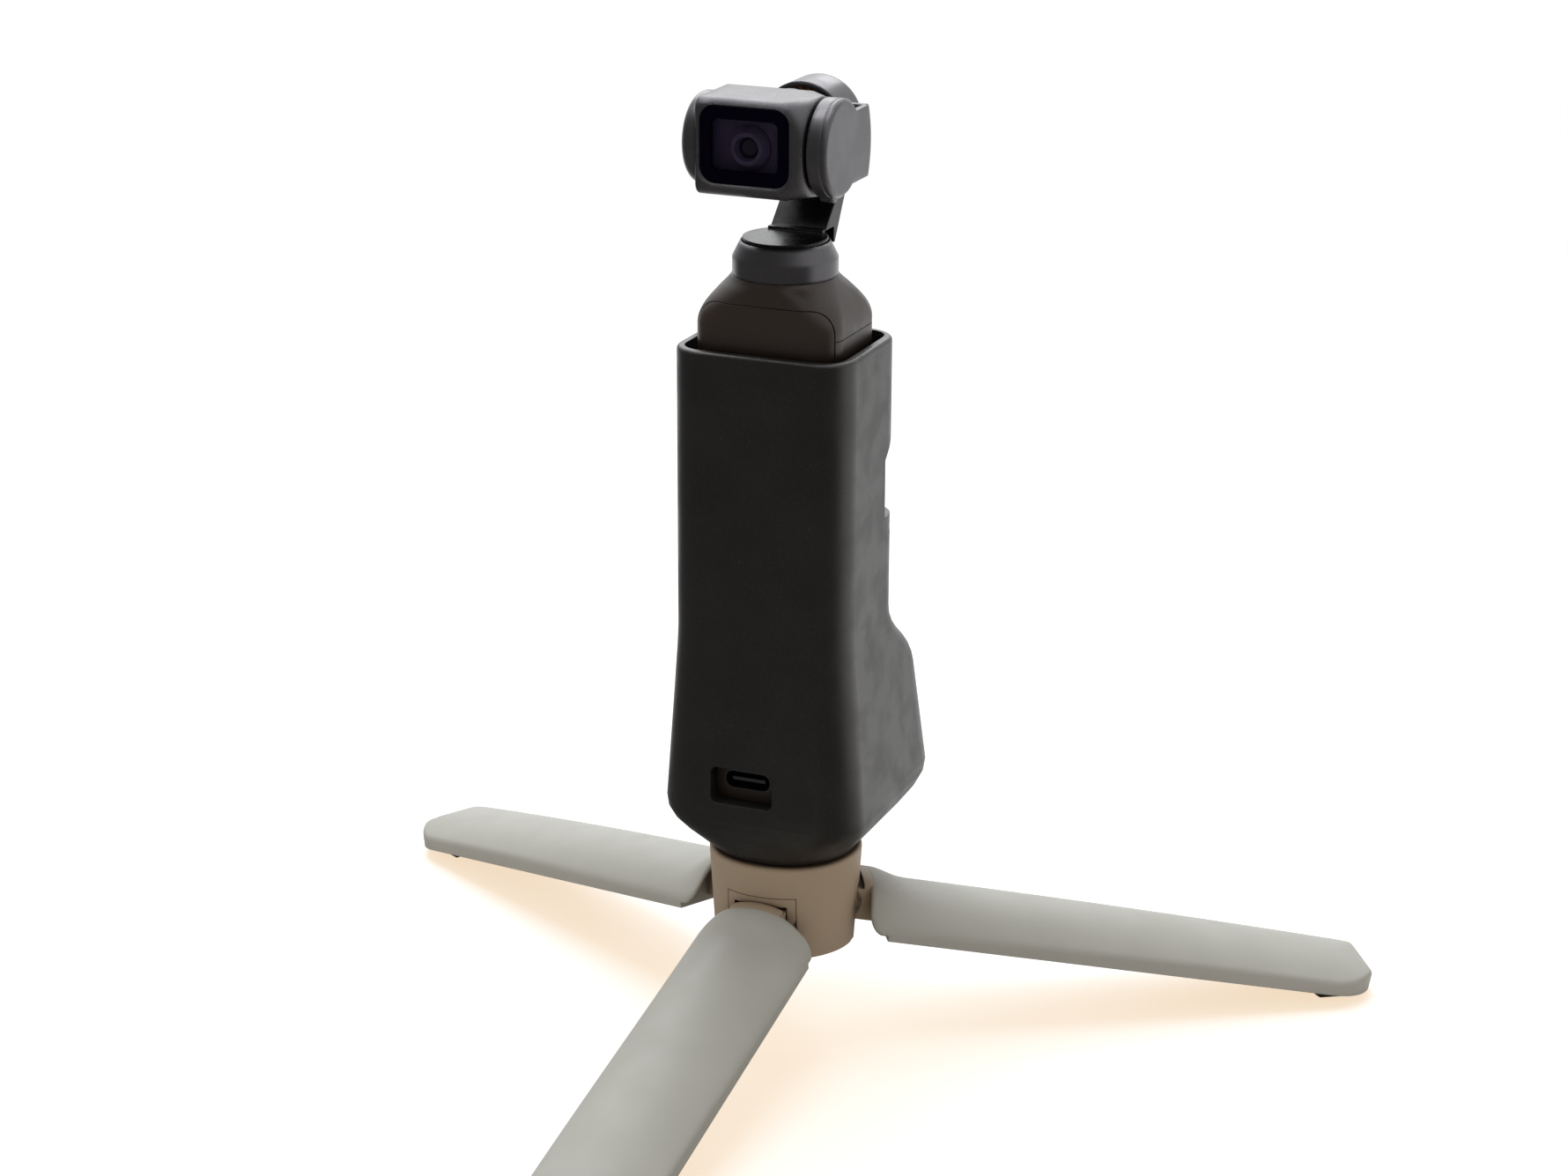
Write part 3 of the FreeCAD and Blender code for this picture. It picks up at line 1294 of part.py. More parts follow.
def build_head():
    """Housing with its window recess and lens well, then the window, the lens and the sensor."""
    y, z = -d.tilt_forward, axis_height
    front = d.tilt_forward + d.housing_half
    x, middle = -d.lens_offset, axis_height + d.window_lift
    half, rise = d.window_width / 2 + d.seam, d.window_height / 2 + d.seam
    recess = new_body("window_recess")
    depth = d.window_recess + d.window_thickness
    outline = draw_rounded(sketch_on(recess, "XZ_Plane", front - depth), x - half, x + half,
                           middle - rise, middle + rise, d.window_corner + d.seam)
    pad(recess, outline, depth * 2)
    well = draw_rounded(sketch_on(recess, "XZ_Plane", front - depth - d.lens_length),
                        x - half + d.housing_wall, x + half - d.housing_wall, middle - rise + d.housing_wall,
                        middle + rise - d.housing_wall, d.window_corner)
    pad(recess, well, depth + d.lens_length)
    keep("camera_housing", cut("camera_housing", build_housing_form(), recess))
    window = new_body("camera_window")
    half, rise = d.window_width / 2, d.window_height / 2
    outline = draw_rounded(sketch_on(window, "XZ_Plane", front - depth), x - half, x + half,
                           middle - rise, middle + rise, d.window_corner)
    pad(window, outline, d.window_thickness)
    keep("camera_window", window)
    sensor_y = depth + d.lens_length - front
    sensor = new_body("image_sensor")
    side = d.sensor_width / 2
    outline = draw_box(sketch_on(sensor, "XZ_Plane", -sensor_y), x - side, x + side, z - side, z + side)
    pad(sensor, outline, d.sensor_thickness)
    keep("image_sensor", sensor)
    barrel_low = d.sensor_thickness
    barrel_high = d.lens_length - d.seam
    glass_seat = barrel_high - d.sensor_thickness
    barrel = turned("lens_barrel", [
        (d.lens_hood_radius * LENS_THROAT, barrel_low), (d.lens_radius, barrel_low),
        (d.lens_radius, glass_seat),
        (d.lens_hood_radius + d.housing_wall / 2, barrel_high), (d.lens_hood_radius, barrel_high),
        (d.lens_glass_radius, glass_seat), (d.lens_hood_radius * LENS_THROAT, glass_seat),
    ])
    keep("lens_barrel", place(barrel, x, sensor_y, z, ALONG_FRONT))
    bulge = d.lens_glass_radius * LENS_BULGE
    glass_radius = d.lens_glass_radius * d.lens_glass_radius / (2 * bulge) + bulge / 2
    glass = turned("lens_glass", [
        (0, glass_seat), (d.lens_glass_radius, glass_seat), (0, glass_seat + bulge),
    ], {1: glass_radius})
    keep("lens_glass", place(glass, x, sensor_y, z, ALONG_FRONT))
    cap = turned("head_end_cap", [
        (0, d.housing_left), (d.end_cap_radius, d.housing_left),
        (d.end_cap_radius, d.head_half_width - d.end_cap_rounding),
        (d.end_cap_radius - d.end_cap_rounding, d.head_half_width), (0, d.head_half_width),
    ], {2: d.end_cap_rounding})
    keep("head_end_cap", place(cap, 0, y, z, ALONG_LEFT))


build_hub()
build_screw()
build_legs()
keep("case_sleeve", cut("case_sleeve", build_sleeve(), *build_sleeve_cuts()))
build_insert()
build_module()
build_grip()
build_end_cap()
build_inner_parts()
build_screen()
build_button("record_button", -d.button_spread)
build_button("function_button", d.button_spread)
build_pan_motor()
build_yaw_arm()
build_roll_motor()
build_roll_arm()
build_tilt_motor()
build_head()

# Check every object, then write one file for each sub-part

doc.recompute()
for thing in doc.Objects:
    if "Invalid" in thing.State or "Error" in thing.State:
        raise RuntimeError("%s failed: %s" % (thing.Name, thing.State))
for name, thing in nodes.items():
    if thing.Shape.isNull() or not thing.Shape.isValid() or not thing.Shape.Solids:
        raise RuntimeError(name + " has no valid solid")
os.makedirs("parts", exist_ok=True)
for name, thing in nodes.items():
    thing.Shape.exportStep("parts/%s.step" % name)
    print(name, len(thing.Shape.Solids), round(thing.Shape.Volume, 2))
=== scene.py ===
import json
import math

import bmesh
import bpy
import numpy as np
from mathutils import Matrix, Vector


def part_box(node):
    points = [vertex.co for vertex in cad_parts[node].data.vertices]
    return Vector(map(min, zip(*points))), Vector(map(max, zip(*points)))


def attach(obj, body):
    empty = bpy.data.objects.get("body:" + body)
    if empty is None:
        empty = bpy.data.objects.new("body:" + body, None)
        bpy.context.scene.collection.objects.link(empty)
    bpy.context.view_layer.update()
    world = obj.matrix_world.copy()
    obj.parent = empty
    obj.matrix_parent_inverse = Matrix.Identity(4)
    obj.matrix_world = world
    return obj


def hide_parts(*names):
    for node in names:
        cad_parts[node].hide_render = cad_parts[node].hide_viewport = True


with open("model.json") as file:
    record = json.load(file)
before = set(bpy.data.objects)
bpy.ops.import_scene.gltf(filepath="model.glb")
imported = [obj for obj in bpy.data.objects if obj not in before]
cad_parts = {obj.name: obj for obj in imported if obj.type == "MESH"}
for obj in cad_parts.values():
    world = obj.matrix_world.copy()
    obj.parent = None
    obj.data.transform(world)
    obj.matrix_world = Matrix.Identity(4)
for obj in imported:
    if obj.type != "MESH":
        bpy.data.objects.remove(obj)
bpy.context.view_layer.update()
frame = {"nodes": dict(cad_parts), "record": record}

# Pocket gimbal camera in a printed sleeve on a folding mini tripod.
# Everything is in metres: the floor is z = 0 under the pan axis and the lens looks along -Y.

MM = 0.001


# Camera, at the place that the picture was taken from: lengths in metres, the pitch in radians

SENSOR_WIDTH = 36.0
PICTURE_WIDTH = 1780
FOCAL_PIXELS = 3999.0
CAMERA_AWAY = 0.63156
CAMERA_HEIGHT = 0.30312
CAMERA_TURN = math.radians(22.7)
CAMERA_PITCH = 0.325126
CAMERA_ROLL = math.radians(0.2404)
NEAREST_SEEN = 0.01
FURTHEST_SEEN = 20


def make_camera():
    """Camera whose axes are worked out from its turn about Z, its pitch and its roll."""
    right = Vector((math.cos(CAMERA_TURN), math.sin(CAMERA_TURN), 0))
    level = Vector((-math.sin(CAMERA_TURN), math.cos(CAMERA_TURN), 0))
    forward = level * math.cos(CAMERA_PITCH) - Vector((0, 0, math.sin(CAMERA_PITCH)))
    upward = right.cross(forward)
    turned_right = right * math.cos(CAMERA_ROLL) + upward * math.sin(CAMERA_ROLL)
    turned_up = upward * math.cos(CAMERA_ROLL) - right * math.sin(CAMERA_ROLL)
    place = -level * CAMERA_AWAY + Vector((0, 0, CAMERA_HEIGHT))
    camera = bpy.data.objects.new("camera", bpy.data.cameras.new("camera"))
    axes = Matrix((turned_right, turned_up, -forward)).transposed()
    camera.matrix_world = Matrix.Translation(place) @ axes.to_4x4()
    camera.data.sensor_width = SENSOR_WIDTH
    camera.data.lens = FOCAL_PIXELS * SENSOR_WIDTH / PICTURE_WIDTH
    camera.data.clip_start = NEAREST_SEEN
    camera.data.clip_end = FURTHEST_SEEN
    bpy.context.scene.collection.objects.link(camera)
    bpy.context.scene.camera = camera


# Short calls for shader nodes

# Numbers of the colour sockets on a Mix node
MIX_SHARE = 0
MIX_FIRST = 6
MIX_SECOND = 7
MIX_RESULT = 2

EDGE_SAMPLES = 4
SKY_SAMPLES = 6


def add(tree, kind, inputs=None, **settings):
    """One node with its settings; inputs gives each named or numbered input a value or a socket to read."""
    node = tree.nodes.new(kind)
    for name, value in settings.items():
        setattr(node, name, value)
    for name, value in (inputs or {}).items():
        if isinstance(value, bpy.types.NodeSocket):
            tree.links.new(value, node.inputs[name])
        else:
            node.inputs[name].default_value = value
    return node


def feed(tree, shader, **values):
    """Links each value to the shader's socket of that name, which has a space for each _."""
    for name, value in values.items():
        tree.links.new(value, shader.inputs[name.replace("_", " ")])


def math_node(tree, operation, *values):
    """Result of one arithmetic step."""
    return add(tree, "ShaderNodeMath", dict(enumerate(values)), operation=operation).outputs[0]


def vector_node(tree, operation, *values):
    """Results of one vector step: its Vector and its Value."""
    return add(tree, "ShaderNodeVectorMath", dict(enumerate(values)), operation=operation).outputs


def parts_of(tree, vector):
    """X, Y and Z of a vector."""
    return add(tree, "ShaderNodeSeparateXYZ", {0: vector}).outputs


def stretch(tree, value, low, high, to_low=0.0, to_high=1.0):
    """Value moved from one range to another and held inside it."""
    inputs = {"Value": value, "From Min": low, "From Max": high, "To Min": to_low, "To Max": to_high}
    return add(tree, "ShaderNodeMapRange", inputs, clamp=True).outputs["Result"]


def between(tree, share, low, high):
    """Low where the share is 0 and high where it is 1."""
    return stretch(tree, share, 0, 1, low, high)


def noise_at(tree, vector, density, detail):
    """Noise between 0 and 1 with about density patches to the metre."""
    inputs = {"Vector": vector, "Scale": density, "Detail": detail}
    return add(tree, "ShaderNodeTexNoise", inputs).outputs["Fac"]


def noise(tree, vector, size, detail=2.0):
    """Noise between 0 and 1 whose patches are about size across."""
    return noise_at(tree, vector, 1 / size, detail)


def blend_colours(tree, share, first, second):
    """Two colours mixed by share."""
    inputs = {MIX_SHARE: share, MIX_FIRST: first, MIX_SECOND: second}
    return add(tree, "ShaderNodeMix", inputs, data_type="RGBA").outputs[MIX_RESULT]


def rounded_edges(tree, radius):
    """Normal of the surface as if its edges had the radius."""
    return add(tree, "ShaderNodeBevel", {"Radius": radius}, samples=EDGE_SAMPLES).outputs["Normal"]


def bumped(tree, height, depth, **normal):
    """Normal moved by a height whose step from 0 to 1 stands for depth."""
    return add(tree, "ShaderNodeBump", {"Height": height, "Distance": depth, **normal}).outputs["Normal"]


def colour(red, green, blue):
    """Colour with full alpha."""
    return (red, green, blue, 1.0)


def scaled(tone, times, lift=0.0):
    """Colour whose three channels are multiplied and lifted, and held at 1."""
    return colour(*(min(channel * times + lift, 1) for channel in tone[:3]))


WHITE = colour(1, 1, 1)
BLACK = colour(0, 0, 0)


# Effects that several finishes share, each one node group

VECTOR = "NodeSocketVector"
NUMBER = "NodeSocketFloat"


def new_effect(name, inputs, outputs):
    """Empty node group with its named inputs and outputs."""
    tree = bpy.data.node_groups.new(name, "ShaderNodeTree")
    for label, kind in inputs.items():
        tree.interface.new_socket(label, in_out="INPUT", socket_type=kind)
    for label in outputs:
        tree.interface.new_socket(label, in_out="OUTPUT", socket_type=NUMBER)
    return tree, add(tree, "NodeGroupInput").outputs, add(tree, "NodeGroupOutput").inputs


def make_moulded_grain():
    """Spark-eroded grain: two noises, one four times finer, added two to one; specks are coarse peaks."""
    finer = 4.0
    coarse_share = 0.67
    fine_share = 0.33
    peaks = (0.66, 0.78)
    inputs = {"Place": VECTOR, "Density": NUMBER}
    tree, given, result = new_effect("moulded_grain", inputs, ["Height", "Speck"])
    fine_density = math_node(tree, "MULTIPLY", given["Density"], finer)
    coarse = noise_at(tree, given["Place"], given["Density"], detail=1.0)
    fine = noise_at(tree, given["Place"], fine_density, detail=1.0)
    height = math_node(tree, "ADD", math_node(tree, "MULTIPLY", coarse, coarse_share),
                       math_node(tree, "MULTIPLY", fine, fine_share))
    tree.links.new(height, result["Height"])
    tree.links.new(stretch(tree, coarse, *peaks), result["Speck"])
    return tree


def make_print_layers():
    """Printed wall: sin(2 pi z / layer) fading in and out with a slow noise, over a powdery noise."""
    drift_size = 9 * MM
    powder_size = 0.22 * MM
    line_share = 0.12
    middle_shades = (0.35, 0.65)
    inputs = {"Place": VECTOR, "Layer": NUMBER}
    tree, given, result = new_effect("print_layers", inputs, ["Height", "Shade"])
    turns = math_node(tree, "DIVIDE", parts_of(tree, given["Place"])["Z"], given["Layer"])
    wave = math_node(tree, "SINE", math_node(tree, "MULTIPLY", turns, 2 * math.pi))
    drift = noise(tree, given["Place"], drift_size)
    powder = noise(tree, given["Place"], powder_size, detail=3.0)
    lines = math_node(tree, "MULTIPLY", math_node(tree, "MULTIPLY", wave, drift), line_share)
    tree.links.new(math_node(tree, "ADD", lines, powder), result["Height"])
    halves = [math_node(tree, "MULTIPLY", part, 0.5) for part in (powder, drift)]
    tree.links.new(stretch(tree, math_node(tree, "ADD", *halves), *middle_shades), result["Shade"])
    return tree


def make_worn_edges():
    """Edge mask: how far the rounded normal leaves the flat one, broken up by a noise."""
    bent_edge = (0.02, 0.14)
    patch_size = 0.9 * MM
    patch_edge = (0.38, 0.62)
    inputs = {"Place": VECTOR, "Rounded Normal": VECTOR}
    tree, given, result = new_effect("worn_edges", inputs, ["Mask"])
    flat = add(tree, "ShaderNodeNewGeometry").outputs["Normal"]
    alike = vector_node(tree, "DOT_PRODUCT", given["Rounded Normal"], flat)["Value"]
    bend = math_node(tree, "SUBTRACT", 1.0, alike)
    broken = noise(tree, given["Place"], patch_size, detail=4.0)
    bent = stretch(tree, bend, *bent_edge)
    patches = stretch(tree, broken, *patch_edge)
    tree.links.new(math_node(tree, "MULTIPLY", bent, patches), result["Mask"])
    return tree


def make_finger_smudges():
    """Soft patches of skin oil: a slow noise bent by a second one."""
    bend_size = 14 * MM
    bend_reach = (6 * MM, 6 * MM, 6 * MM)
    patch_size = 7 * MM
    patch_edge = (0.42, 0.62)
    tree, given, result = new_effect("finger_smudges", {"Place": VECTOR}, ["Mask"])
    bend = add(tree, "ShaderNodeTexNoise", {"Vector": given["Place"], "Scale": 1 / bend_size})
    shift = vector_node(tree, "MULTIPLY", bend.outputs["Color"], bend_reach)["Vector"]
    moved = vector_node(tree, "ADD", given["Place"], shift)["Vector"]
    patches = noise(tree, moved, patch_size, detail=3.0)
    tree.links.new(stretch(tree, patches, *patch_edge), result["Mask"])
    return tree


def make_corner_shade():
    """Painted shade for deep places: how much of the sky within reach is hidden."""
    open_share = (0.25, 0.75)
    tree, given, result = new_effect("painted_shade", {"Reach": NUMBER}, ["Mask"])
    sky = add(tree, "ShaderNodeAmbientOcclusion", {"Distance": given["Reach"]}, samples=SKY_SAMPLES)
    tree.links.new(stretch(tree, sky.outputs["AO"], *open_share, 1.0, 0.0), result["Mask"])
    return tree


def make_settled_dust():
    """Fine specks on what faces up: noise peaks times the upward part of the normal."""
    level = (0.1, 0.9)
    speck_size = 0.35 * MM
    peaks = (0.70, 0.76)
    tree, given, result = new_effect("settled_dust", {"Place": VECTOR}, ["Mask"])
    normal = add(tree, "ShaderNodeNewGeometry").outputs["Normal"]
    upward = stretch(tree, parts_of(tree, normal)["Z"], *level)
    specks = stretch(tree, noise(tree, given["Place"], speck_size, detail=1.0), *peaks)
    tree.links.new(math_node(tree, "MULTIPLY", upward, specks), result["Mask"])
    return tree


GRAIN = make_moulded_grain()
LAYERS = make_print_layers()
EDGES = make_worn_edges()
SMUDGES = make_finger_smudges()
DUST = make_settled_dust()
CORNER_SHADE = make_corner_shade()


# Finishes

TONE_PATCH = 11 * MM
WORN_TIMES = 1.9
WORN_LIFT = 0.02
DUST_SHARE = 0.10
DUST_TONE = colour(0.5, 0.48, 0.45)
# Painted shade in deep places: how far it looks for hidden sky, and what it multiplies the first tone's
# channels by
SHADE_REACH = 10 * MM
SHADE_TIMES = (0.30, 0.24, 0.18)
SMUDGE_STEP = 0.05
GLASS_ROUGHNESS = 0.05
SMUDGED_GLASS = (0.04, 0.13)


def new_finish(name, roughness, gloss=0.5, metallic=0.0):
    """Material with its node tree, its shader and its place on the object."""
    material = bpy.data.materials.new(name)
    material.use_nodes = True
    tree = material.node_tree
    tree.nodes.clear()
    shader = add(tree, "ShaderNodeBsdfPrincipled",
                 {"Roughness": roughness, "Specular IOR Level": gloss, "Metallic": metallic})
    add(tree, "ShaderNodeOutputMaterial", {"Surface": shader.outputs[0]})
    place = add(tree, "ShaderNodeTexCoord").outputs["Object"]
    return material, tree, shader, place


def use(tree, effect, **given):
    """One shared effect placed in a material."""
    inputs = {name.replace("_", " "): value for name, value in given.items()}
    return add(tree, "ShaderNodeGroup", node_tree=effect, inputs=inputs).outputs


def moulded(name, tones, roughness, gloss, grain, depth,
            rounding=0.25 * MM, wear=0.25, shade_share=0.85, metallic=0.0):
    """Moulded or painted finish, with the size and depth of its grain.

    The colour drifts between two tones, is paler on worn edges and under dust, and takes painted shade in
    deep places.
    Smudges change the gloss, and the grain stands on rounded edges."""
    material, tree, shader, place = new_finish(name, roughness, gloss, metallic)
    rounded = rounded_edges(tree, rounding)
    edges = use(tree, EDGES, Place=place, Rounded_Normal=rounded)["Mask"]
    worn = math_node(tree, "MULTIPLY", edges, wear)
    dust = math_node(tree, "MULTIPLY", use(tree, DUST, Place=place)["Mask"], DUST_SHARE)
    base = blend_colours(tree, noise(tree, place, TONE_PATCH, detail=4.0), *tones)
    base = blend_colours(tree, worn, base, scaled(tones[0], WORN_TIMES, WORN_LIFT))
    base = blend_colours(tree, dust, base, DUST_TONE)
    # Painted shade: deep places turn towards a warm, darker copy of the first tone
    if shade_share:
        deep = math_node(tree, "MULTIPLY", use(tree, CORNER_SHADE, Reach=SHADE_REACH)["Mask"], shade_share)
        dark = colour(*(channel * times for channel, times in zip(tones[0], SHADE_TIMES)))
        base = blend_colours(tree, deep, base, dark)
    smudge = use(tree, SMUDGES, Place=place)["Mask"]
    texture = use(tree, GRAIN, Place=place, Density=1 / grain)["Height"]
    feed(tree, shader, Base_Color=base, Normal=bumped(tree, texture, depth, Normal=rounded),
         Roughness=between(tree, smudge, roughness - SMUDGE_STEP, roughness + SMUDGE_STEP))
    return material


def printed_sleeve_finish():
    """Charcoal print: powdery mottle, faint layers and pale specks of powder, with painted shade, dark and
    rough, in deep places.
    """
    shades = (colour(0.0105, 0.0088, 0.0078), colour(0.0165, 0.0138, 0.012))
    speck_tone = colour(0.05, 0.045, 0.04)
    worn_tone = colour(0.06, 0.055, 0.05)
    sleeve_shade_tone = colour(0.003, 0.0025, 0.002)
    layer = 0.2 * MM
    speck_size = 0.5 * MM
    speck_share = 0.35
    wear = 0.3
    rounding = 0.3 * MM
    sleeve_shade_reach = 8 * MM
    sleeve_shade_edge = (0.08, 0.45)
    smudged = (0.38, 0.46)
    depth = 0.03 * MM
    material, tree, shader, place = new_finish("printed_plastic", roughness=0.5, gloss=0.6)
    layers = use(tree, LAYERS, Place=place, Layer=layer)
    speck = use(tree, GRAIN, Place=place, Density=1 / speck_size)["Speck"]
    rounded = rounded_edges(tree, rounding)
    worn = use(tree, EDGES, Place=place, Rounded_Normal=rounded)["Mask"]
    # Painted shade in deep places, such as the gap round the grip: near black, and rough so that it reflects
    # little
    deep = stretch(tree, use(tree, CORNER_SHADE, Reach=sleeve_shade_reach)["Mask"], *sleeve_shade_edge)
    base = blend_colours(tree, layers["Shade"], *shades)
    base = blend_colours(tree, math_node(tree, "MULTIPLY", speck, speck_share), base, speck_tone)
    base = blend_colours(tree, math_node(tree, "MULTIPLY", worn, wear), base, worn_tone)
    base = blend_colours(tree, deep, base, sleeve_shade_tone)
    gloss = between(tree, use(tree, SMUDGES, Place=place)["Mask"], *smudged)
    feed(tree, shader, Base_Color=base, Roughness=math_node(tree, "MAXIMUM", gloss, deep),
         Normal=bumped(tree, layers["Height"], depth, Normal=rounded))
    return material


def turned_metal(name, tone, roughness, axis):
    """Turned or brushed metal: noise stretched a hundred times across the cut."""
    along = 4 * MM
    across = 0.04 * MM
    dull_times = 0.6
    cut_range = (0.2, 0.8)
    roughness_times = (0.7, 1.3)
    rounding = 0.15 * MM
    depth = 0.01 * MM
    material, tree, shader, place = new_finish(name, roughness, metallic=1.0)
    densities = [1 / along] * 3
    densities[axis] = 1 / across
    lines = vector_node(tree, "MULTIPLY", place, tuple(densities))["Vector"]
    cut = noise_at(tree, lines, density=1.0, detail=2.0)
    feed(tree, shader, Base_Color=blend_colours(tree, cut, scaled(tone, dull_times), tone),
         Roughness=stretch(tree, cut, *cut_range, *(roughness * times for times in roughness_times)),
         Normal=bumped(tree, cut, depth, Normal=rounded_edges(tree, rounding)))
    return material


def dark_glass(name, tone, gloss, alpha):
    """Dark cover glass with faint smudges in its gloss."""
    smudge_times = 1.6
    rounding = 0.2 * MM
    material, tree, shader, place = new_finish(name, GLASS_ROUGHNESS, gloss)
    smudge = use(tree, SMUDGES, Place=place)["Mask"]
    feed(tree, shader, Base_Color=blend_colours(tree, smudge, tone, scaled(tone, smudge_times)),
         Roughness=between(tree, smudge, *SMUDGED_GLASS), Normal=rounded_edges(tree, rounding))
    shader.inputs["Alpha"].default_value = alpha
    return material


def middle_of(node):
    """Middle of a solid's box in X and Z."""
    low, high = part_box(node)
    return (low[0] + high[0]) / 2, (low[2] + high[2]) / 2


def window_glass():
    """Cover glass printed black round a clear place, faintly blue.

    The clear place is a rounded rectangle: sqrt(x past^2 + z past^2) beyond its corners' centres
    against their radius."""
    clear_half = {"X": 6.45 * MM, "Z": 4.65 * MM}
    corner = 1.2 * MM
    soft = 0.1 * MM
    clear_tone = colour(0.0035, 0.0025, 0.0075)
    border_tone = colour(0.0008, 0.0004, 0.0050)
    clear_alpha = 0.12
    material, tree, shader, place = new_finish("window_glass", GLASS_ROUGHNESS, gloss=0.06)
    past_squares = []
    for axis, middle in zip("XZ", middle_of("camera_window")):
        away = math_node(tree, "SUBTRACT", parts_of(tree, place)[axis], middle)
        past = math_node(tree, "SUBTRACT", math_node(tree, "ABSOLUTE", away), clear_half[axis] - corner)
        past = math_node(tree, "MAXIMUM", past, 0.0)
        past_squares.append(math_node(tree, "MULTIPLY", past, past))
    past = math_node(tree, "SQRT", math_node(tree, "ADD", *past_squares))
    border = stretch(tree, past, corner - soft, corner + soft)
    smudge = use(tree, SMUDGES, Place=place)["Mask"]
    feed(tree, shader, Base_Color=blend_colours(tree, border, clear_tone, border_tone),
         Alpha=between(tree, border, clear_alpha, 1.0), Roughness=between(tree, smudge, *SMUDGED_GLASS))
    return material


def marked_button(name, tones, dot_tone, centre, radius):
    """Satin button with a round dot: distance from its middle in X and Z against a radius."""
    dot_edge = 0.08 * MM
    grain = 0.25 * MM
    grain_range = (0.3, 0.7)
    gloss_range = (0.34, 0.46)
    rounding = 0.2 * MM
    depth = 0.006 * MM
    material, tree, shader, place = new_finish(name, roughness=0.4, gloss=0.4)
    squares = []
    for axis, middle in zip("XZ", centre):
        away = math_node(tree, "SUBTRACT", parts_of(tree, place)[axis], middle)
        squares.append(math_node(tree, "MULTIPLY", away, away))
    away = math_node(tree, "SQRT", math_node(tree, "ADD", *squares))
    dot = stretch(tree, away, radius, radius - dot_edge)
    texture = use(tree, GRAIN, Place=place, Density=1 / grain)["Height"]
    base = blend_colours(tree, dot, blend_colours(tree, texture, *tones), dot_tone)
    feed(tree, shader, Base_Color=base, Roughness=stretch(tree, texture, *grain_range, *gloss_range),
         Normal=bumped(tree, texture, depth, Normal=rounded_edges(tree, rounding)))
    return material


def board_finish():
    """Green solder mask over raised tracks, which are the joints of a brick pattern in X and in Y plus Z."""
    mask_tones = (colour(0.012, 0.06, 0.028), colour(0.016, 0.085, 0.04))
    track_tone = colour(0.05, 0.14, 0.06)
    brick = 6 * MM
    track_share = 0.03
    depth = 0.03 * MM
    material, tree, shader, place = new_finish("board_green", roughness=0.35)
    part = parts_of(tree, place)
    along = math_node(tree, "ADD", part["Y"], part["Z"])
    flat = add(tree, "ShaderNodeCombineXYZ", {"X": part["X"], "Y": along})
    bricks = add(tree, "ShaderNodeTexBrick", {
        "Vector": flat.outputs[0], "Color1": mask_tones[0], "Color2": mask_tones[1], "Mortar": track_tone,
        "Scale": 1 / brick, "Mortar Size": track_share}).outputs
    feed(tree, shader, Base_Color=bricks["Color"], Normal=bumped(tree, bricks["Fac"], depth))
    return material


def winding_finish():
    """Enamelled wire: copper between two tones, with a wave for its fine turns."""
    tones = (colour(0.35, 0.12, 0.04), colour(0.78, 0.36, 0.15))
    wave_size = 2.2 * MM
    depth = 0.05 * MM
    material, tree, shader, place = new_finish("coil_copper", roughness=0.35, metallic=0.8)
    inputs = {"Vector": place, "Scale": 1 / wave_size, "Distortion": 1.5, "Detail": 1.0}
    waves = add(tree, "ShaderNodeTexWave", inputs, wave_type="BANDS", bands_direction="DIAGONAL")
    turns = waves.outputs["Fac"]
    feed(tree, shader, Base_Color=blend_colours(tree, turns, *tones), Normal=bumped(tree, turns, depth))
    return material


GRAPHITE = dict(tones=(colour(0.100, 0.097, 0.106), colour(0.116, 0.113, 0.122)), roughness=0.30, gloss=0.5,
                grain=0.18 * MM, depth=0.006 * MM, wear=0.3, metallic=0.8)
BUTTON_TONES = (colour(0.018, 0.016, 0.016), colour(0.026, 0.023, 0.022))

